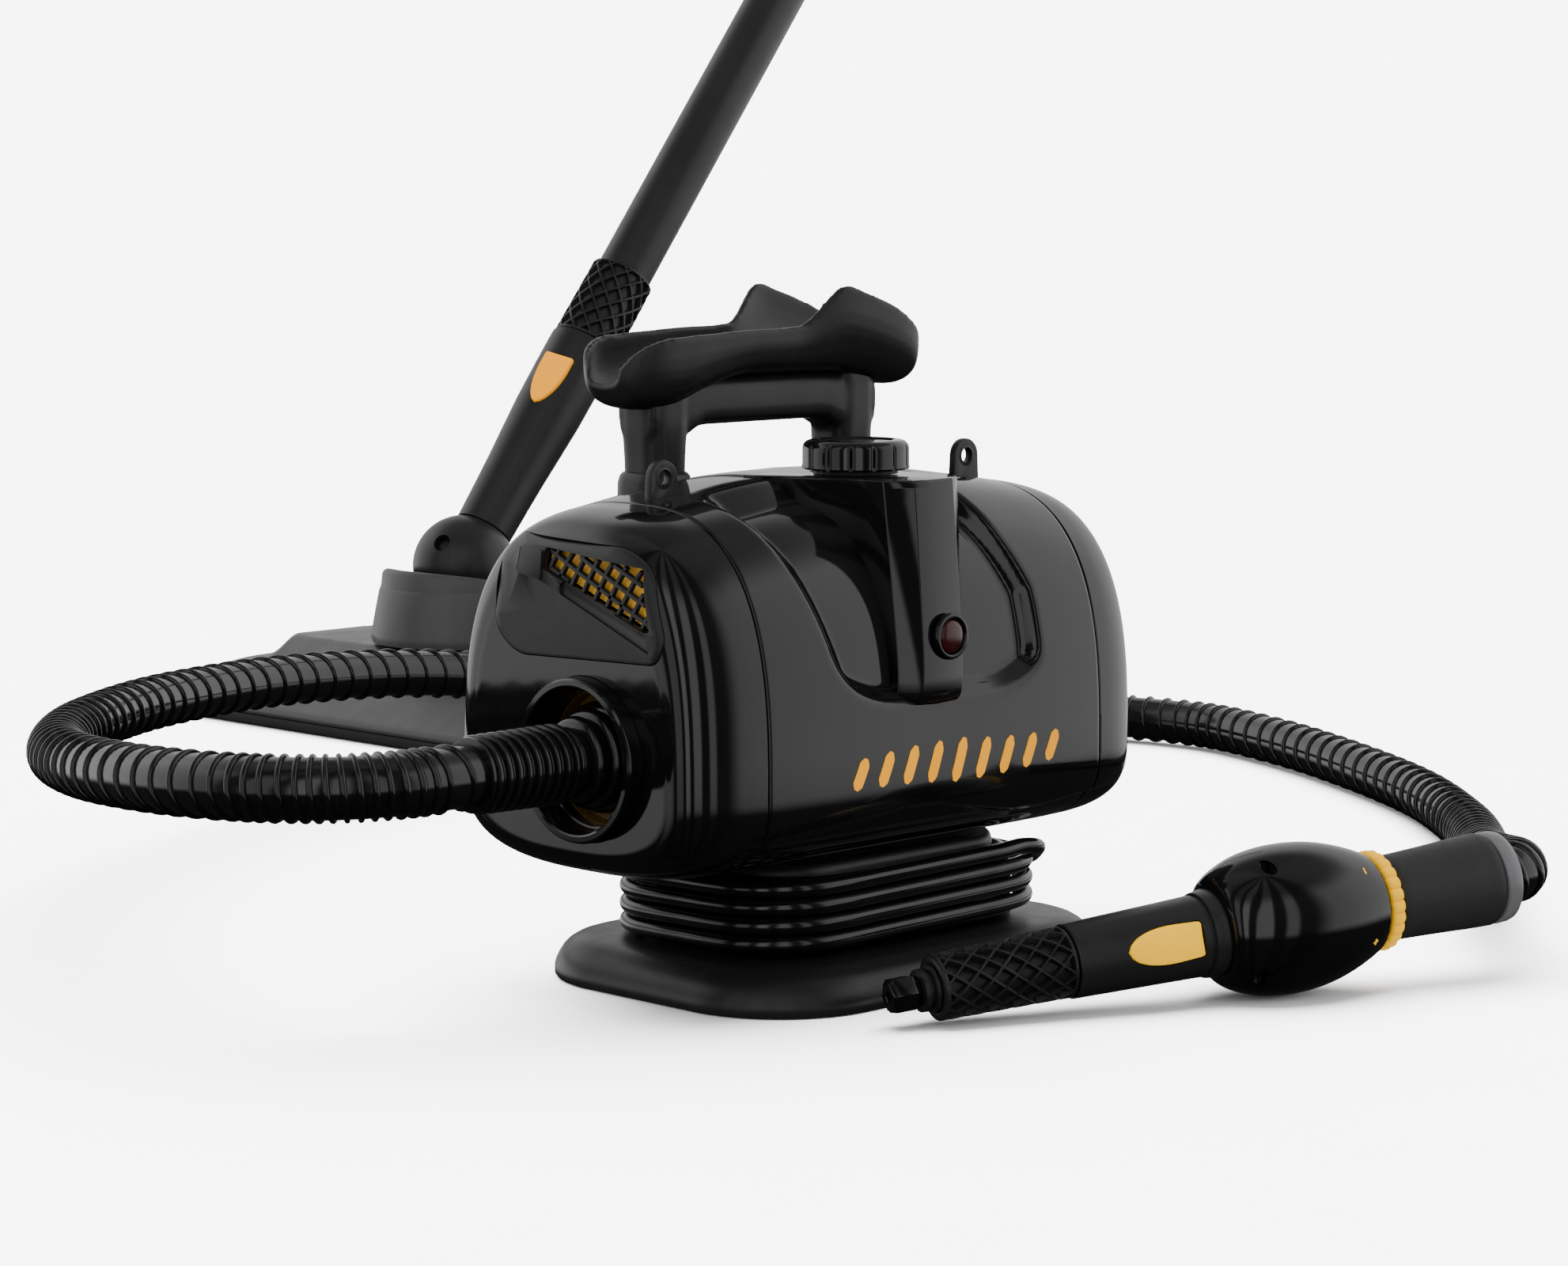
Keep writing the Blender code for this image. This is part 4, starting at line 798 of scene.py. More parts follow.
def cradle_section(x, hw, top, low):
    """U-shaped section: outside round from rim to rim, then the inside back again."""
    out, ins = [], []
    for k in range(-12, 13):
        a = math.radians(90 * k / 12)
        wide, deep = bent(math.sin(a), 0.72), abs(math.cos(a)) ** 0.62
        out.append((hw * wide, top - (top - low) * deep))
        ins.append(((hw - 0.0036) * wide, top + 0.0003 - (top - low - 0.004) * deep))
    return [(x, HANDLE_Y + y, z) for y, z in out + list(reversed(ins))]


cradle_line = sweep([tuple(r[:3]) for r in CRADLE], 8)
cradle_low = [low for _, low in sweep_flat([(r[0], r[3]) for r in CRADLE], 8)]
cradle = Shape().rows([cradle_section(x, hw, top, low) for (x, hw, top), low in zip(cradle_line, cradle_low)])
cradle = melt(cradle.make("tool_cradle_moulding"), 0.0011, 3)
piece(cradle, "canister", "satin_black", SATIN, "tool_cradle", angle=60)

ends = [(POST_X + 0.0125, BAR_LOW - 0.006), (POST_X, BAR_LOW - 0.0062), (POST_X - 0.012, BAR_LOW - 0.0056),
        (POST_X - 0.017, BAR_LOW - 0.003), (POST_X - 0.021, BAR_LOW - 0.0008), (POST_X - 0.028, BAR_LOW)]
bar_rows = []
for x, low in [(-x, low) for x, low in ends] + [(x, low) for x, low in reversed(ends)]:
    tall = (BAR_TOP - low) / 2
    bar_rows.append([(HANDLE_X + x, HANDLE_Y + 0.0128 * bent(math.cos(a), 0.62),
                      low + tall + tall * bent(math.sin(a), 0.62))
                     for a in np.linspace(0, 2 * math.pi, 40, endpoint=False)])
grip_bar = Shape().rows(bar_rows).make("handle_moulding")
posts = []
for sign in (-1, 1):
    post = Shape().rows([corner_ring(hx, hy, 0.0085, z, 8, (HANDLE_X + sign * POST_X, HANDLE_Y)) for z, hx, hy in (
        (0.214, 0.0118, 0.013), (0.232, 0.0119, 0.0131), (0.248, 0.0123, 0.0134), (BAR_LOW, 0.013, 0.0138),
        (BAR_TOP - 0.002, 0.0132, 0.0138), (BAR_TOP, 0.012, 0.0126))])
    posts.append(post.make(f"post_{sign}"))
carve(grip_bar, *posts, how="UNION")
melt(grip_bar, 0.0012, 6)
piece(grip_bar, "canister", "satin_black", SATIN, "handle", angle=60)
for index, sign in enumerate((-1, 1)):
    x = HANDLE_X + sign * POST_X
    rows = [corner_ring(0.0128 + g, 0.014 + g, 0.0095 + g, z, 8, (x, HANDLE_Y)) for z, g in (
        (0.228, 0.003), (0.236, 0.0028), (0.2392, 0.0018), (0.2406, 0.0004), (0.2412, -0.0008))]
    piece(Shape().rows(rows).make(f"post_foot_{index + 1}"), "canister", "satin_black", SATIN)

# ------------------------------------------------------------------ strap lugs
LUG_R, LUG_Z, EYE_Z = 0.0086, 0.2424, 0.2426
for name, x, node_name in (("strap_tab_left", CENTRE_X - 0.096, "strap_lug_left"),
                           ("strap_tab_right", CENTRE_X + 0.11, "strap_lug_right")):
    y = -0.002
    outline = [(LUG_R * math.cos(a), LUG_Z + LUG_R * math.sin(a)) for a in np.linspace(0, math.pi, 25)]
    outline += [(-0.0095, 0.224), (0.0095, 0.224)]
    tab = Shape().rows([[(x + px, y + dy, pz) for px, pz in outline] for dy in (-0.002, 0.002)]).make(name)
    carve(tab, Shape().rows(turned_rows(((-0.02, 0.0038), (0.02, 0.0038)), (x, y, EYE_Z), (0, 1, 0), 36)).make("eye"))
    soften(tab, 0.0007, 3)
    piece(tab, "canister", "satin_black", SATIN, node_name)
    rim = lathe(name + "_eyelet", ((-0.0024, 0.004), (-0.0021, 0.0053), (0.0021, 0.0053), (0.0024, 0.004),
                                   (0.0018, 0.0037), (-0.0018, 0.0037)), (x, y, EYE_Z), (0, 1, 0), 36, loop=True)
    piece(rim, "canister", "satin_black", SATIN, angle=50)

# ------------------------------------------------------------------ steam gun
GUN_TIP = Vector((-0.091, -0.126, 0.015))
GUN_AXIS = Vector((0.3, -0.122, 0.033)).normalized()
FACE = Vector((-0.387, -0.907, 0.166))
FACE = (FACE - GUN_AXIS * FACE.dot(GUN_AXIS)).normalized()
BINORMAL = GUN_AXIS.cross(FACE).normalized()


def local_point(origin, axes, s, n, b):
    return origin + axes[0] * s + axes[1] * n + axes[2] * b


GUN = (GUN_TIP, (GUN_AXIS, FACE, BINORMAL))


def gun_at(s, n, b):
    return local_point(*GUN, s, n, b)


def prism(base, outline, n0, n1):
    return Shape().rows([[local_point(*base, s, n, b) for s, b in outline] for n in (n0, n1)])


def ring_rows(base, profile, count=64, wave=None):
    """Turned rows about a part's own axis, with angle zero along its button's direction."""
    rows = []
    for s, r in profile:
        row = []
        for j in range(count):
            a = 2 * math.pi * j / count
            rr = r if wave is None else wave(s, r, a)
            row.append(local_point(*base, s, rr * math.cos(a), rr * math.sin(a)))
        rows.append(row)
    return rows


PER_CELL = 22


def lattice_guard(name, base, s0, s1, r0, r1, around, pitch, depth, inner):
    """Sleeve with a raised crossing lattice between plain end rims."""
    count = around * PER_CELL
    steps = int((s1 - s0) / pitch * PER_CELL)
    rows = []
    for i in range(steps + 1):
        s = s0 + (s1 - s0) * i / steps
        radius = r0 + (r1 - r0) * i / steps
        rim = max(1 - ease((s - s0 - 0.002) / 0.0008), 1 - ease((s1 - 0.0022 - s) / 0.0008))
        edge = 0.0012 * (1 - min(1.0, min(s - s0, s1 - s) / 0.0012)) ** 2
        row = []
        for j in range(count):
            a = 2 * math.pi * j / count
            u, v = around * a / (2 * math.pi), (s - s0) / pitch
            lines = [abs(((u + sign * v) % 1.0) - 0.5) for sign in (1, -1)]
            bar = max(float(ease((0.125 - (0.5 - k)) / 0.035)) for k in lines)
            r = radius - edge - depth * (1 - max(bar, float(rim)))
            row.append(local_point(*base, s, r * math.cos(a), r * math.sin(a)))
        rows.append(row)
    end = [[local_point(*base, s, inner * math.cos(a), inner * math.sin(a))
            for a in (2 * math.pi * j / count for j in range(count))] for s in (s1, s0)]
    return Shape().rows(rows + end, loop=True).make(name)


def shield(point, side, corner):
    """Outline of a lock button: pointed at one end, square at the other."""
    half = [(point, 0.0)] + sweep_flat(side, 6) + list(corner)
    return half + [(s, -b) for s, b in reversed(half[1:])]


hexagon = Shape().rows(ring_rows(GUN, (
    (0.0008, 0.0076), (0.0, 0.007), (0.0, 0.003), (0.0004, 0.0026), (0.0217, 0.0026), (0.0217, 0.0068),
    (0.0125, 0.0068), (0.012, 0.0084), (0.0105, 0.0088), (0.0016, 0.0088)), 6), loop=True).make("nozzle_tip")
soften(hexagon, 0.0005, 3)
piece(hexagon, "canister", "satin_black", GLOSS, "gun_nozzle")
fins = Shape().rows(ring_rows(GUN, ((0.0145, 0.007), (0.015, 0.0098), (0.0172, 0.01), (0.0178, 0.0084),
                                    (0.0195, 0.0084), (0.02, 0.011), (0.0216, 0.0112), (0.0216, 0.007)), 48),
                    loop=True)
piece(fins.make("nozzle_collar"), "canister", "satin_black", SATIN)
guard = lattice_guard("gun_guard_lattice", GUN, 0.0222, 0.0889, 0.0152, 0.0166, 10, 0.0118, 0.003, 0.0115)
piece(guard, "canister", "satin_black", SATIN, "gun_heat_guard", angle=40)

barrel = Shape().rows(ring_rows(GUN, (
    (0.0893, 0.0168), (0.0899, 0.0173), (0.091, 0.0174), (0.14, 0.0187), (0.156, 0.0192), (0.1566, 0.0187),
    (0.1576, 0.0187), (0.1582, 0.02), (0.164, 0.021), (0.1652, 0.0206), (0.1652, 0.0075), (0.0893, 0.0075)), 96),
    loop=True).make("gun_barrel_moulding")
gun_shield = shield(0.1133, ((0.115, 0.003), (0.1185, 0.0055), (0.125, 0.0077), (0.135, 0.0088), (0.15, 0.0082)),
                    ((0.1516, 0.0078), (0.152, 0.007)))
grown = [(0.133 + (s - 0.133) * 1.02, b * 1.055) for s, b in gun_shield]
carve(barrel, prism(GUN, grown, 0.0104, 0.03).make("button_well"))
piece(barrel, "canister", "satin_black", SATIN, "gun_barrel", angle=30)


def crowned_button(name, base, outline, low, high, middle, dome, bow):
    """Button with an eased rim whose top follows the tube it sits in."""
    rows = []
    for n, k in ((low, 1.0), (high - 0.0012, 1.0), (high - 0.0005, 0.985), (high - 0.0001, 0.955), (high, 0.9),
                 (high + dome * 0.3, 0.7), (high + dome * 0.7, 0.45), (high + dome, 0.08)):
        rows.append([local_point(*base, middle + (s - middle) * k, n - bow * (b * k) ** 2, b * k)
                     for s, b in outline])
    return Shape().rows(rows).make(name)


button = crowned_button("gun_button_cap", GUN, gun_shield, 0.015, 0.0194, 0.1345, 0.0001, 20.0)
piece(button, "gun_button", "yellow", YELLOW, "gun_lock_button", angle=40)

OVOID = ((0.1655, 0.0206), (0.166, 0.0226), (0.1675, 0.025), (0.1705, 0.0274), (0.1755, 0.03), (0.183, 0.0328),
         (0.192, 0.0346), (0.202, 0.0353), (0.213, 0.0348), (0.223, 0.0332), (0.232, 0.0307), (0.24, 0.0277),
         (0.245, 0.0254), (0.248, 0.0238), (0.249, 0.0228))
ovoid_line = sweep_flat(OVOID, 5)
inside = [(0.249, 0.015), (0.244, 0.015), (0.237, 0.0235), (0.222, 0.03), (0.195, 0.03), (0.18, 0.0215),
          (0.172, 0.009), (0.1655, 0.009)]
WELLS = ((0.1775, 0.0232), (0.189, -0.0266))
for name, node_name, low, high in (("gun_shell_front", "gun_shell_top", 0.00015, 0.06),
                                   ("gun_shell_back", "gun_shell_bottom", -0.06, -0.00015)):
    shell = Shape().rows(ring_rows(GUN, ovoid_line + inside, 120), loop=True).make(name)
    away = (-0.06, 0.00015) if low > 0 else (-0.00015, 0.06)
    tools = [prism(GUN, ((0.15, -0.06), (0.15, 0.06), (0.28, 0.06), (0.28, -0.06)), *away).make("half_cut")]
    if low > 0:
        for s, b in WELLS:
            tools.append(Shape().rows(turned_rows(((0.012, 0.0033), (0.04, 0.0036)), gun_at(s, 0, b), FACE,
                                                  32)).make("well"))
    else:
        tools.append(prism(GUN, fillet(((0.196, -0.0068), (0.196, 0.0068), (0.243, 0.0068), (0.243, -0.0068)),
                                       0.003), -0.06, -0.015).make("trigger_gap"))
    carve(shell, *tools)
    piece(shell, "canister", "gloss_black", GLOSS, node_name, angle=30)
for index, (s, b) in enumerate(WELLS):
    screw = Shape().rows(turned_rows(((0.0125, 0.0027), (0.0126, 0.003), (0.0142, 0.003), (0.0151, 0.0026),
                                      (0.0155, 0.0017), (0.0156, 0.0004)), gun_at(s, 0, b), FACE, 32)).make("screw")
    cross = [Shape().box(gun_at(s, 0.0156, b), (a, c, FACE), (0.0038, 0.0008, 0.0022)).make("cross")
             for a, c in ((GUN_AXIS, BINORMAL), (BINORMAL, GUN_AXIS))]
    screw.name = f"gun_screw_head_{index + 1}"
    carve(screw, *cross)
    piece(screw, "canister", "steel", DARK, f"gun_screw_{index + 1}")


def ovoid_radius(s):
    return float(np.interp(s, [p[0] for p in ovoid_line], [p[1] for p in ovoid_line]))


signs = Shape()
for s, a, upright in ((0.2375, 0.62, True), (0.2375, -0.62, False)):
    lie = FACE * math.cos(a) + BINORMAL * math.sin(a)
    wide = BINORMAL * math.cos(a) - FACE * math.sin(a)
    slope = (ovoid_radius(s + 0.001) - ovoid_radius(s - 0.001)) / 0.002
    along = (GUN_AXIS + lie * slope).normalized()
    out = wide.cross(along).normalized()
    out = out if out.dot(lie) > 0 else -out
    spot = gun_at(s, 0, 0) + lie * (ovoid_radius(s) + 0.00002)
    signs.box(spot, (wide, along, out), (0.0034, 0.0009, 0.0003))
    for way in (1, -1) if upright else ():
        signs.box(spot + along * (way * 0.00105), (along, wide, out), (0.0012, 0.0009, 0.0003))
piece(signs.make("dial_signs"), "canister", "yellow", YELLOW)


def dial_wave(s, r, a):
    bump = abs(math.sin(12 * a)) ** 0.6
    return r - (0.0016 * (1 - bump) if r > 0.0205 else 0.0)


dial = Shape().rows(ring_rows(GUN, ((0.2496, 0.0212), (0.25, 0.0226), (0.2508, 0.0236), (0.252, 0.024),
                                    (0.2545, 0.024), (0.2558, 0.0236), (0.2568, 0.0226), (0.2574, 0.0214),
                                    (0.2574, 0.008), (0.2496, 0.008)), 288, dial_wave), loop=True).make("dial_knurled")
piece(dial, "dial", "yellow", YELLOW, "steam_dial", angle=40)
grip = Shape().rows(ring_rows(GUN, [(0.258, 0.0176), (0.2584, 0.019), (0.2594, 0.0199), (0.2612, 0.0203)]
                              + sweep_flat(((0.264, 0.0204), (0.272, 0.0207), (0.284, 0.0212), (0.298, 0.0219),
                                            (0.309, 0.0223)), 6)
                              + [(0.3118, 0.0223), (0.3132, 0.0217), (0.314, 0.0204)], 72)).make("gun_grip_sleeve")
piece(grip, "canister", "soft_grip", GRIP, "gun_grip", angle=50)
collar = Shape().rows(ring_rows(GUN, (
    (0.3143, 0.0206), (0.3149, 0.0218), (0.316, 0.0222), (0.32, 0.022), (0.3222, 0.0214), (0.3233, 0.0202),
    (0.3235, 0.018), (0.3232, 0.0165), (0.3195, 0.0163), (0.3195, 0.0062), (0.3143, 0.0062)), 72), loop=True)
piece(collar.make("gun_collar_end"), "canister", "grey_collar", COLLAR, "gun_end_collar", angle=45)
TRIGGER = fillet(((0.1975, -0.025), (0.1975, -0.033), (0.205, -0.04), (0.218, -0.0425), (0.232, -0.0415),
                  (0.241, -0.0385), (0.241, -0.027), (0.22, -0.0265)), 0.0025, 5)
trigger = Shape().rows([[gun_at(s, n, b) for s, n in TRIGGER] for b in (-0.0062, 0.0062)]).make("trigger_lever")
soften(trigger, 0.0009, 3)
piece(trigger, "trigger", "satin_black", SATIN, "steam_trigger")

# ------------------------------------------------------------------ floor head
HEAD = Vector((0.431, 0.777, 0.0))
HEAD_X, HEAD_Y, HEAD_R = 0.13, 0.225, 0.065
BALL = HEAD + Vector((0.0, 0.0, 0.108))
BALL_R = 0.0355


def head_ring(inset, z):
    return corner_ring(HEAD_X - inset, HEAD_Y - inset, max(0.012, HEAD_R - inset), z, 24, (HEAD.x, HEAD.y))


sole = Shape().rows([head_ring(i, z) for i, z in ((0.0065, 0.0), (0.005, 0.0006), (0.0042, 0.002), (0.004, 0.0074),
                                                  (0.0046, 0.0078))])
piece(sole.make("head_sole_plate"), "floor_head", "dark_grey", RUBBER, "head_sole", angle=40)


def head_height(x, y, rim):
    """Gently arched top with a raised middle that falls away along a crease."""
    u, v = abs(x) / HEAD_X, abs(y) / HEAD_Y
    arch = 0.027 * (1 - 0.55 * v ** 2.2)
    rise = 0.0135 * float(ease((1.02 - (u * 0.75 + v * 1.05)) / 0.16))
    return 0.0165 + (arch + rise) * rim


head_rows = [head_ring(inset, z) for inset, z in (
    (0.0034, 0.0081), (0.0012, 0.0086), (0.0002, 0.0098), (0.0, 0.0112), (0.0002, 0.0142), (0.0012, 0.0155),
    (0.003, 0.0163))]
for inset in list(np.linspace(0.0045, 0.04, 26)) + list(np.linspace(0.043, 0.118, 40)):
    rim = float(ease((inset - 0.003) / 0.06)) ** 0.55 if inset < 0.063 else 1.0
    ring = []
    for x, y, _ in corner_ring(HEAD_X - inset, HEAD_Y - inset, max(0.006, HEAD_R - 0.55 * inset), 0.0, 24):
        ring.append((HEAD.x + x, HEAD.y + y, head_height(x, y, rim)))
    head_rows.append(ring)
piece(Shape().rows(head_rows).make("head_cover_moulding"), "floor_head", "dark_grey", GREY, "head_cover", angle=50)

collar_profile = ((0.056, 0.064), (0.06, 0.065), (0.062, 0.0648), (0.08, 0.0615), (0.0915, 0.0592),
                  (0.094, 0.0583), (0.0955, 0.0572), (0.096, 0.056), (0.096, 0.048), (0.0952, 0.0466),
                  (0.09, 0.044), (0.089, 0.036), (0.084, 0.0276), (0.076, 0.0185), (0.073, 0.014),
                  (0.056, 0.014))
piece(lathe("swivel_collar_moulding", collar_profile, (HEAD.x, HEAD.y, 0.0), (0, 0, 1), 96, loop=True),
      "swivel", "dark_grey", GREY, "swivel_collar", angle=30)
SHOE_LOW, SHOE_RISE = 0.0935, 0.0125
shoe = []
for k in range(33):
    a = math.radians(95 + 170 * k / 32)
    lift = SHOE_RISE * math.sin(math.pi * k / 32) ** 0.45
    shoe.append([(HEAD.x + r * math.cos(a), HEAD.y + r * math.sin(a), SHOE_LOW + z) for r, z in (
        (0.05, 0.0), (0.05, lift), (0.051, lift + 0.0016), (0.0532, lift + 0.0022), (0.0556, lift + 0.0012),
        (0.0568, lift - 0.0008), (0.058, 0.0))])
piece(Shape().rows(shoe).make("swivel_horseshoe"), "swivel", "dark_grey", GREY, angle=40)

# ------------------------------------------------------------------ wand
LEAN = math.radians(37.5)
WAND_AXIS = Vector((math.sin(LEAN), 0.0, math.cos(LEAN)))
WAND_FACE = Vector((-1.02, -0.38, 0.117))
WAND_FACE = (WAND_FACE - WAND_AXIS * WAND_FACE.dot(WAND_AXIS)).normalized()
WAND = (BALL, (WAND_AXIS, WAND_FACE, WAND_AXIS.cross(WAND_FACE).normalized()))
WAND_END = 1.05
ball_profile = [(BALL_R * math.sin(math.radians(a)), BALL_R * math.cos(math.radians(a))) for a in range(-84, 85, 4)]
ball = lathe("ball_joint_sphere", ball_profile, BALL, (0, 0, 1), 72)
recess_way = Vector((-0.8, -0.28, 0.53)).normalized()
recess = Shape().rows(turned_rows(((0.029, 0.0058), (0.04, 0.0064)), BALL, recess_way, 32)).make("recess")
carve(ball, recess)
piece(ball, "wand", "satin_black", SATIN, "ball_joint", angle=40)
ball_screw = lathe("ball_screw", ((0.0286, 0.004), (0.03, 0.0042), (0.0306, 0.0036), (0.0308, 0.0006)), BALL,
                   recess_way, 32)
piece(ball_screw, "wand", "steel", DARK)

neck_rows = ring_rows(WAND, (
    (0.03, 0.0205), (0.042, 0.0208), (0.06, 0.0213), (0.08, 0.022), (0.105, 0.0233), (0.13, 0.0245),
    (0.16, 0.0249), (0.185, 0.025), (0.1872, 0.0248), (0.188, 0.024), (0.188, 0.015), (0.033, 0.015)), 96)
wand_neck = Shape().rows(neck_rows, loop=True).make("wand_neck_tube")
wand_shield = shield(0.1243, ((0.1262, 0.0032), (0.1305, 0.0062), (0.1385, 0.0092), (0.15, 0.011), (0.163, 0.0112)),
                     ((0.1647, 0.0108), (0.165, 0.0098)))
grown = [(0.145 + (s - 0.145) * 1.02, b * 1.045) for s, b in wand_shield]
carve(wand_neck, prism(WAND, grown, 0.0176, 0.04).make("wand_well"))
piece(wand_neck, "wand", "satin_black", SATIN, "neck_tube", angle=30)
wand_button = crowned_button("wand_button_cap", WAND, wand_shield, 0.0206, 0.0259, 0.1465, 0.0002, 6.0)
piece(wand_button, "wand_button", "yellow", AMBER_KEY, "wand_lock_button", angle=40)
piece(lattice_guard("wand_guard_lattice", WAND, 0.1884, 0.2499, 0.024, 0.0232, 11, 0.0142, 0.003, 0.0201),
      "wand", "satin_black", SATIN, "wand_heat_guard", angle=40)


def wand_tube(name, node_name, profile):
    piece(Shape().rows(ring_rows(WAND, profile, 72), loop=True).make(name), "wand", "satin_black", SATIN, node_name,
          angle=40)


wand_tube("lower_wand_tube", "lower_tube", (
    (0.2503, 0.0194), (0.2509, 0.02), (0.624, 0.02), (0.6246, 0.0197), (0.6255, 0.0197), (0.6262, 0.02),
    (0.6295, 0.02), (0.63, 0.0196), (0.63, 0.017), (0.2503, 0.017)))
wand_tube("upper_wand_tube", "upper_tube", (
    (0.6303, 0.0192), (0.6308, 0.0195), (0.9992, 0.0195), (0.9997, 0.0191), (0.9997, 0.0165), (0.6303, 0.0165)))
wand_tube("wand_collar_end", "wand_top_collar", [(WAND_END - short, r) for short, r in (
    (0.05, 0.0206), (0.049, 0.0216), (0.0478, 0.0218), (0.03, 0.0218), (0.0294, 0.0213), (0.027, 0.0213),
    (0.0264, 0.0218), (0.0012, 0.0218), (0.0002, 0.0212), (0.0, 0.02), (0.0, 0.0145), (0.001, 0.0135),
    (0.05, 0.0135))])

# ------------------------------------------------------------------ printed mark: a plain row of slanted bars
mark = Shape()


def on_front(x, z, proud):
    """Point on the front of the centre shell over (x, z)."""
    depth = np.interp(abs(x - CENTRE_X), STATIONS[:, 0], STATIONS[:, 1]) * BODY_Y
    y = -depth * (1 - abs((z - BODY_MID) / (BODY_UP if z > BODY_MID else BODY_DOWN)) ** BODY_POWER) ** (1 / BODY_POWER)
    return (x, y - proud, z)


def ribbon(points, width, proud=0.00025):
    """Thin raised strip along points (x, z) on the front."""
    line = np.array(sweep_flat(points, 8))
    way = np.gradient(line, axis=0)
    way /= np.linalg.norm(way, axis=1)[:, None]
    cross = np.column_stack([-way[:, 1], way[:, 0]])
    rows = []
    for i, (p, c) in enumerate(zip(line, cross)):
        t = i / (len(line) - 1)
        w = width * min(1.0, 0.35 + 4 * min(t, 1 - t))
        rows.append([on_front(*(p + c * (w * k)), lift) for k, lift in (
            (-0.5, -0.0004), (-0.5, proud), (0.0, proud), (0.5, proud), (0.5, -0.0004))])
    mark.rows(rows)


for k in range(9):
    x, z = -0.074 + 0.0165 * k, 0.11 + 0.001 * math.sin(0.8 * k)
    tall = 0.0105 - 0.0008 * abs(k - 4)
    ribbon(((x - 0.0035, z - tall * 0.9), (x, z), (x + 0.0035, z + tall)), 0.0062)
piece(mark.make("front_mark"), "canister", "yellow", MARK, angle=50)

# ------------------------------------------------------------------ parts inside, as packed
for names, mat in ((("boiler",), CAST), (("heating_element", "thermostat", "gun_steam_tube"), STEEL),
                   (("steam_outlet_pipe", "filler_neck", "safety_valve", "gun_valve", "gun_spindle"), BRASS),
                   (("cap_gasket",), RUBBER), (("wand_socket",), GREY)):
    for name in names:
        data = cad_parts[name].data
        data.materials.clear()
        data.materials.append(mat)

# ------------------------------------------------------------------ floor and light
FLOOR_WHITE, FLOOR_HALF = 0.92, 60
floor_mat = finish("pale_floor", [FLOOR_WHITE] * 3, 0.6, grain=0.02, grain_scale=300.0, tint=0.01, specular=0.0)
floor = Shape().rows([[(x * FLOOR_HALF, y * FLOOR_HALF, z) for x, y in ((-1, -1), (1, -1), (1, 1), (-1, 1))]
                      for z in (-0.03, -0.0005)]).make("floor")
floor.data.materials.append(floor_mat)
floor.visible_glossy = False
floor.visible_diffuse = False

# one surround for each kind of ray: white behind the object, a soft fill for the matt parts, and for gloss a ring of
# upright panels with dark gaps between them, dark below the table
WHITE, FILL, PANELS = 7.5, 1.3, 1.9
PANEL_RING = (  # compass degrees, brightness
    (-180, 0.55), (-172, 0.55), (-170, 0.03), (-163, 0.03), (-161, 1.0), (-150, 1.0), (-148, 0.03), (-138, 0.03),
    (-136, 0.85), (-122, 0.85), (-120, 0.03), (-108, 0.03), (-106, 0.7), (-98, 0.7), (-96, 0.04), (-86, 0.05),
    (-70, 0.75), (-40, 0.85), (-10, 0.75), (30, 0.5), (70, 0.5), (100, 0.9), (128, 0.8), (146, 0.55),
    (158, 0.04), (168, 0.04), (172, 0.55), (180, 0.55))
PANEL_HEIGHT = (  # share of the way from straight down to straight up, brightness
    (0.0, 0.02), (0.36, 0.03), (0.44, 1.0), (0.8, 1.0), (0.92, 0.25), (1.0, 0.25))
world = bpy.data.worlds.new("studio")
bpy.context.scene.world = world
world.use_nodes = True
sky = world.node_tree
where = node(sky, "TexCoord")
split = node(sky, "SeparateXYZ")
turn = node(sky, "Math")
turn.operation = "ARCTAN2"
around = node(sky, "MapRange", From_Min=-math.pi, From_Max=math.pi)
height = node(sky, "MapRange", From_Min=-1.0, From_Max=1.0)
bands = ramp_of(sky, [((degrees + 180) / 360, [level] * 3) for degrees, level in PANEL_RING], "EASE")
rise = ramp_of(sky, [(share, [level] * 3) for share, level in PANEL_HEIGHT], "EASE")
both = node(sky, "Math")
both.operation = "MULTIPLY"
sky.links.new(turn.outputs["Value"], around.inputs["Value"])
for index, (source, out) in enumerate(((split, "Y"), (split, "X"))):
    sky.links.new(source.outputs[out], turn.inputs[index])
for index, source in enumerate((bands, rise)):
    sky.links.new(source.outputs["Color"], both.inputs[index])
gloss_view, world_out = sky.nodes["Background"], sky.nodes["World Output"]
gloss_view.inputs["Strength"].default_value = PANELS
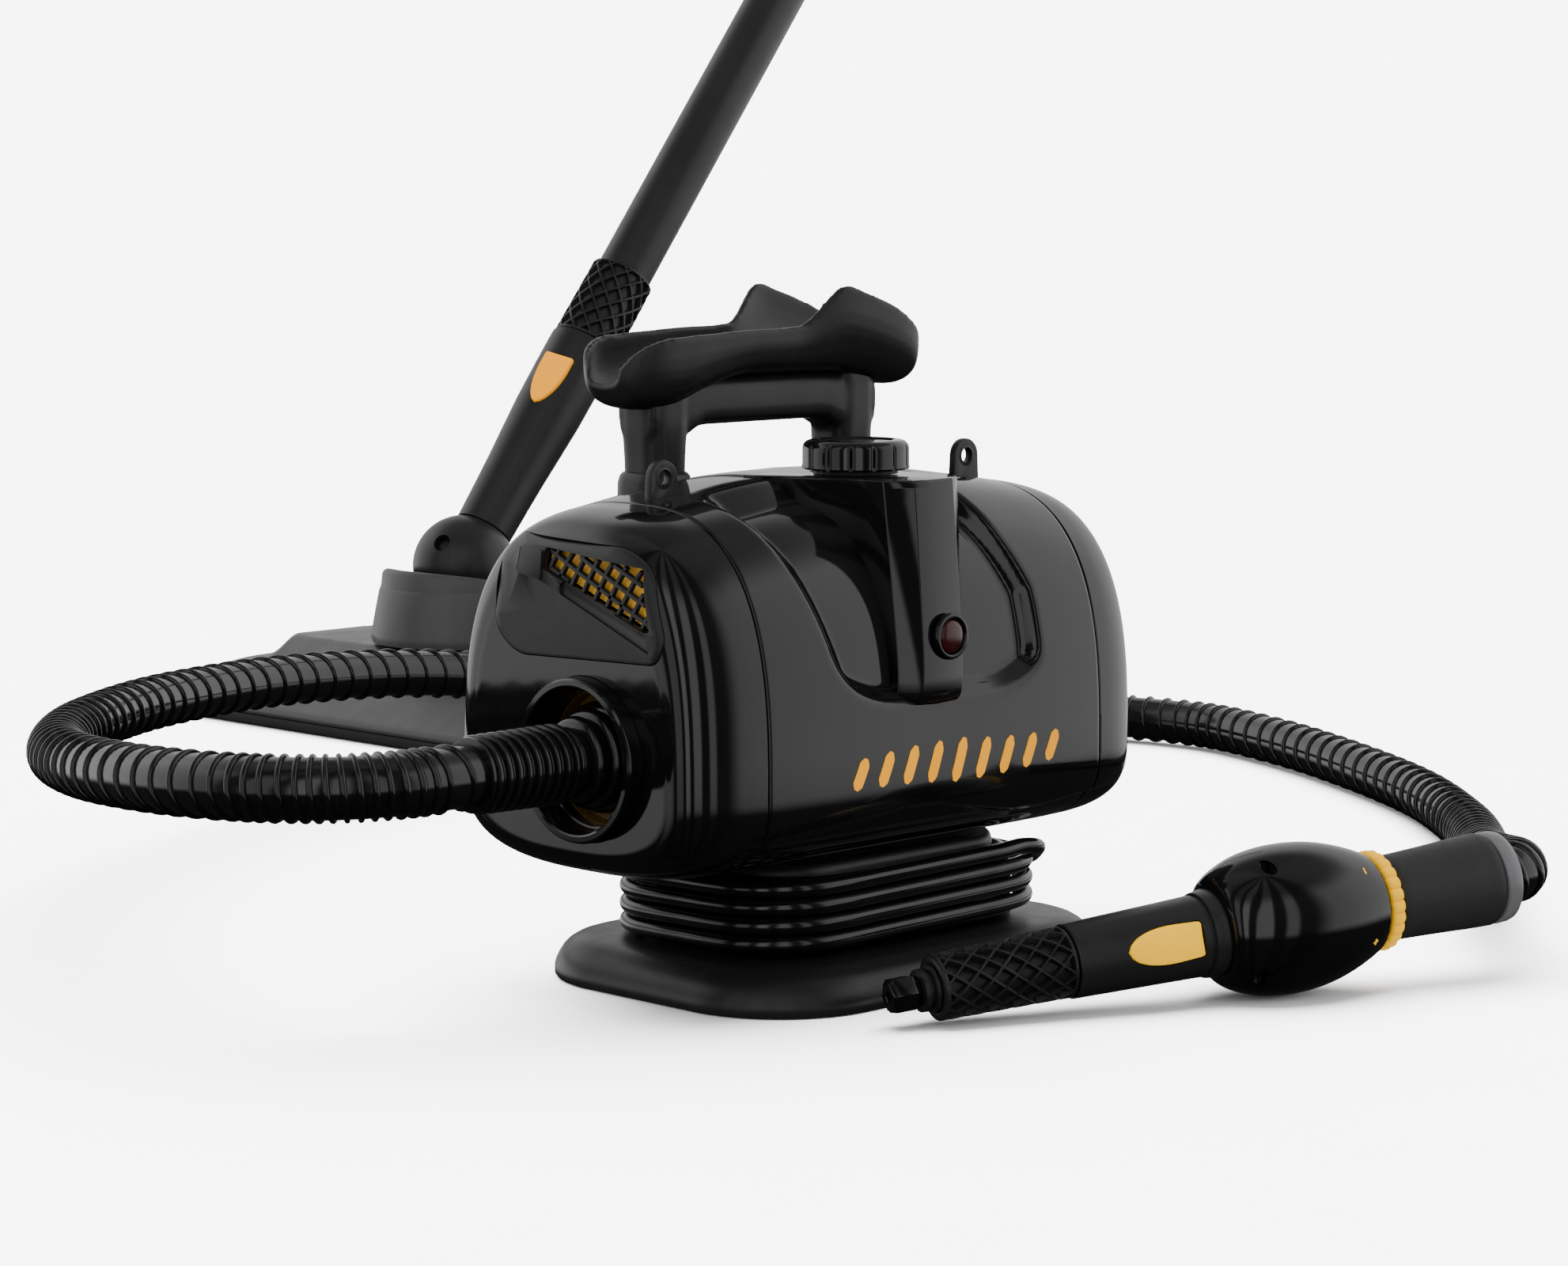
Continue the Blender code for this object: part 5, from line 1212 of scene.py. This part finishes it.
fill = node(sky, "Background", Color=(1.0, 1.0, 1.0, 1.0), Strength=FILL)
white = node(sky, "Background", Color=(1.0, 1.0, 1.0, 1.0), Strength=WHITE)
rays = node(sky, "LightPath")
matt_or_gloss = node(sky, "MixShader")
seen_or_lit = node(sky, "MixShader")
join(sky, (where, "Generated", split, "Vector"), (split, "Z", height, "Value"), (around, "Result", bands, "Fac"),
     (height, "Result", rise, "Fac"), (both, "Value", gloss_view, "Color"),
     (rays, "Is Glossy Ray", matt_or_gloss, "Fac"), (rays, "Is Camera Ray", seen_or_lit, "Fac"),
     (seen_or_lit, "Shader", world_out, "Surface"))
for mix, *shaders in ((matt_or_gloss, fill, gloss_view), (seen_or_lit, matt_or_gloss, white)):
    for index, shader in enumerate(shaders):
        sky.links.new(shader.outputs[0], mix.inputs[index + 1])


def lamp(name, kind, at, to, power):
    light = bpy.data.objects.new(name, bpy.data.lights.new(name, kind))
    light.data.energy = power
    light.location = at
    light.rotation_euler = (Vector(to) - Vector(at)).to_track_quat("-Z", "Y").to_euler()
    bpy.context.scene.collection.objects.link(light)
    return light


for name, at, to, size, power in (("top_box", (0.1, 0.0, 2.2), (0.1, 0.1, 0.0), (2.0, 2.0), 26.0),
                                  ("left_box", (-2.0, 0.9, 1.0), (0.0, 0.0, 0.15), (0.8, 1.4), 12.0),
                                  ("front_box", (1.0, -2.2, 0.9), (0.0, 0.0, 0.15), (1.0, 1.4), 12.0)):
    light = lamp(name, "AREA", at, to, power)
    light.visible_glossy = False
    light.data.shape = "RECTANGLE"
    light.data.size, light.data.size_y = size

# a very wide sun that lights only the floor, so the floor meets the white surround without an edge
SUN_POWER = (WHITE - FLOOR_WHITE * FILL) * math.pi / FLOOR_WHITE
only_floor = bpy.data.collections.new("floor_only")
only_floor.objects.link(floor)
sun = lamp("floor_sun", "SUN", (0.4, 0.9, 3.0), (0.0, 0.0, 0.0), SUN_POWER)
sun.data.angle = math.radians(75.0)
sun.light_linking.receiver_collection = only_floor
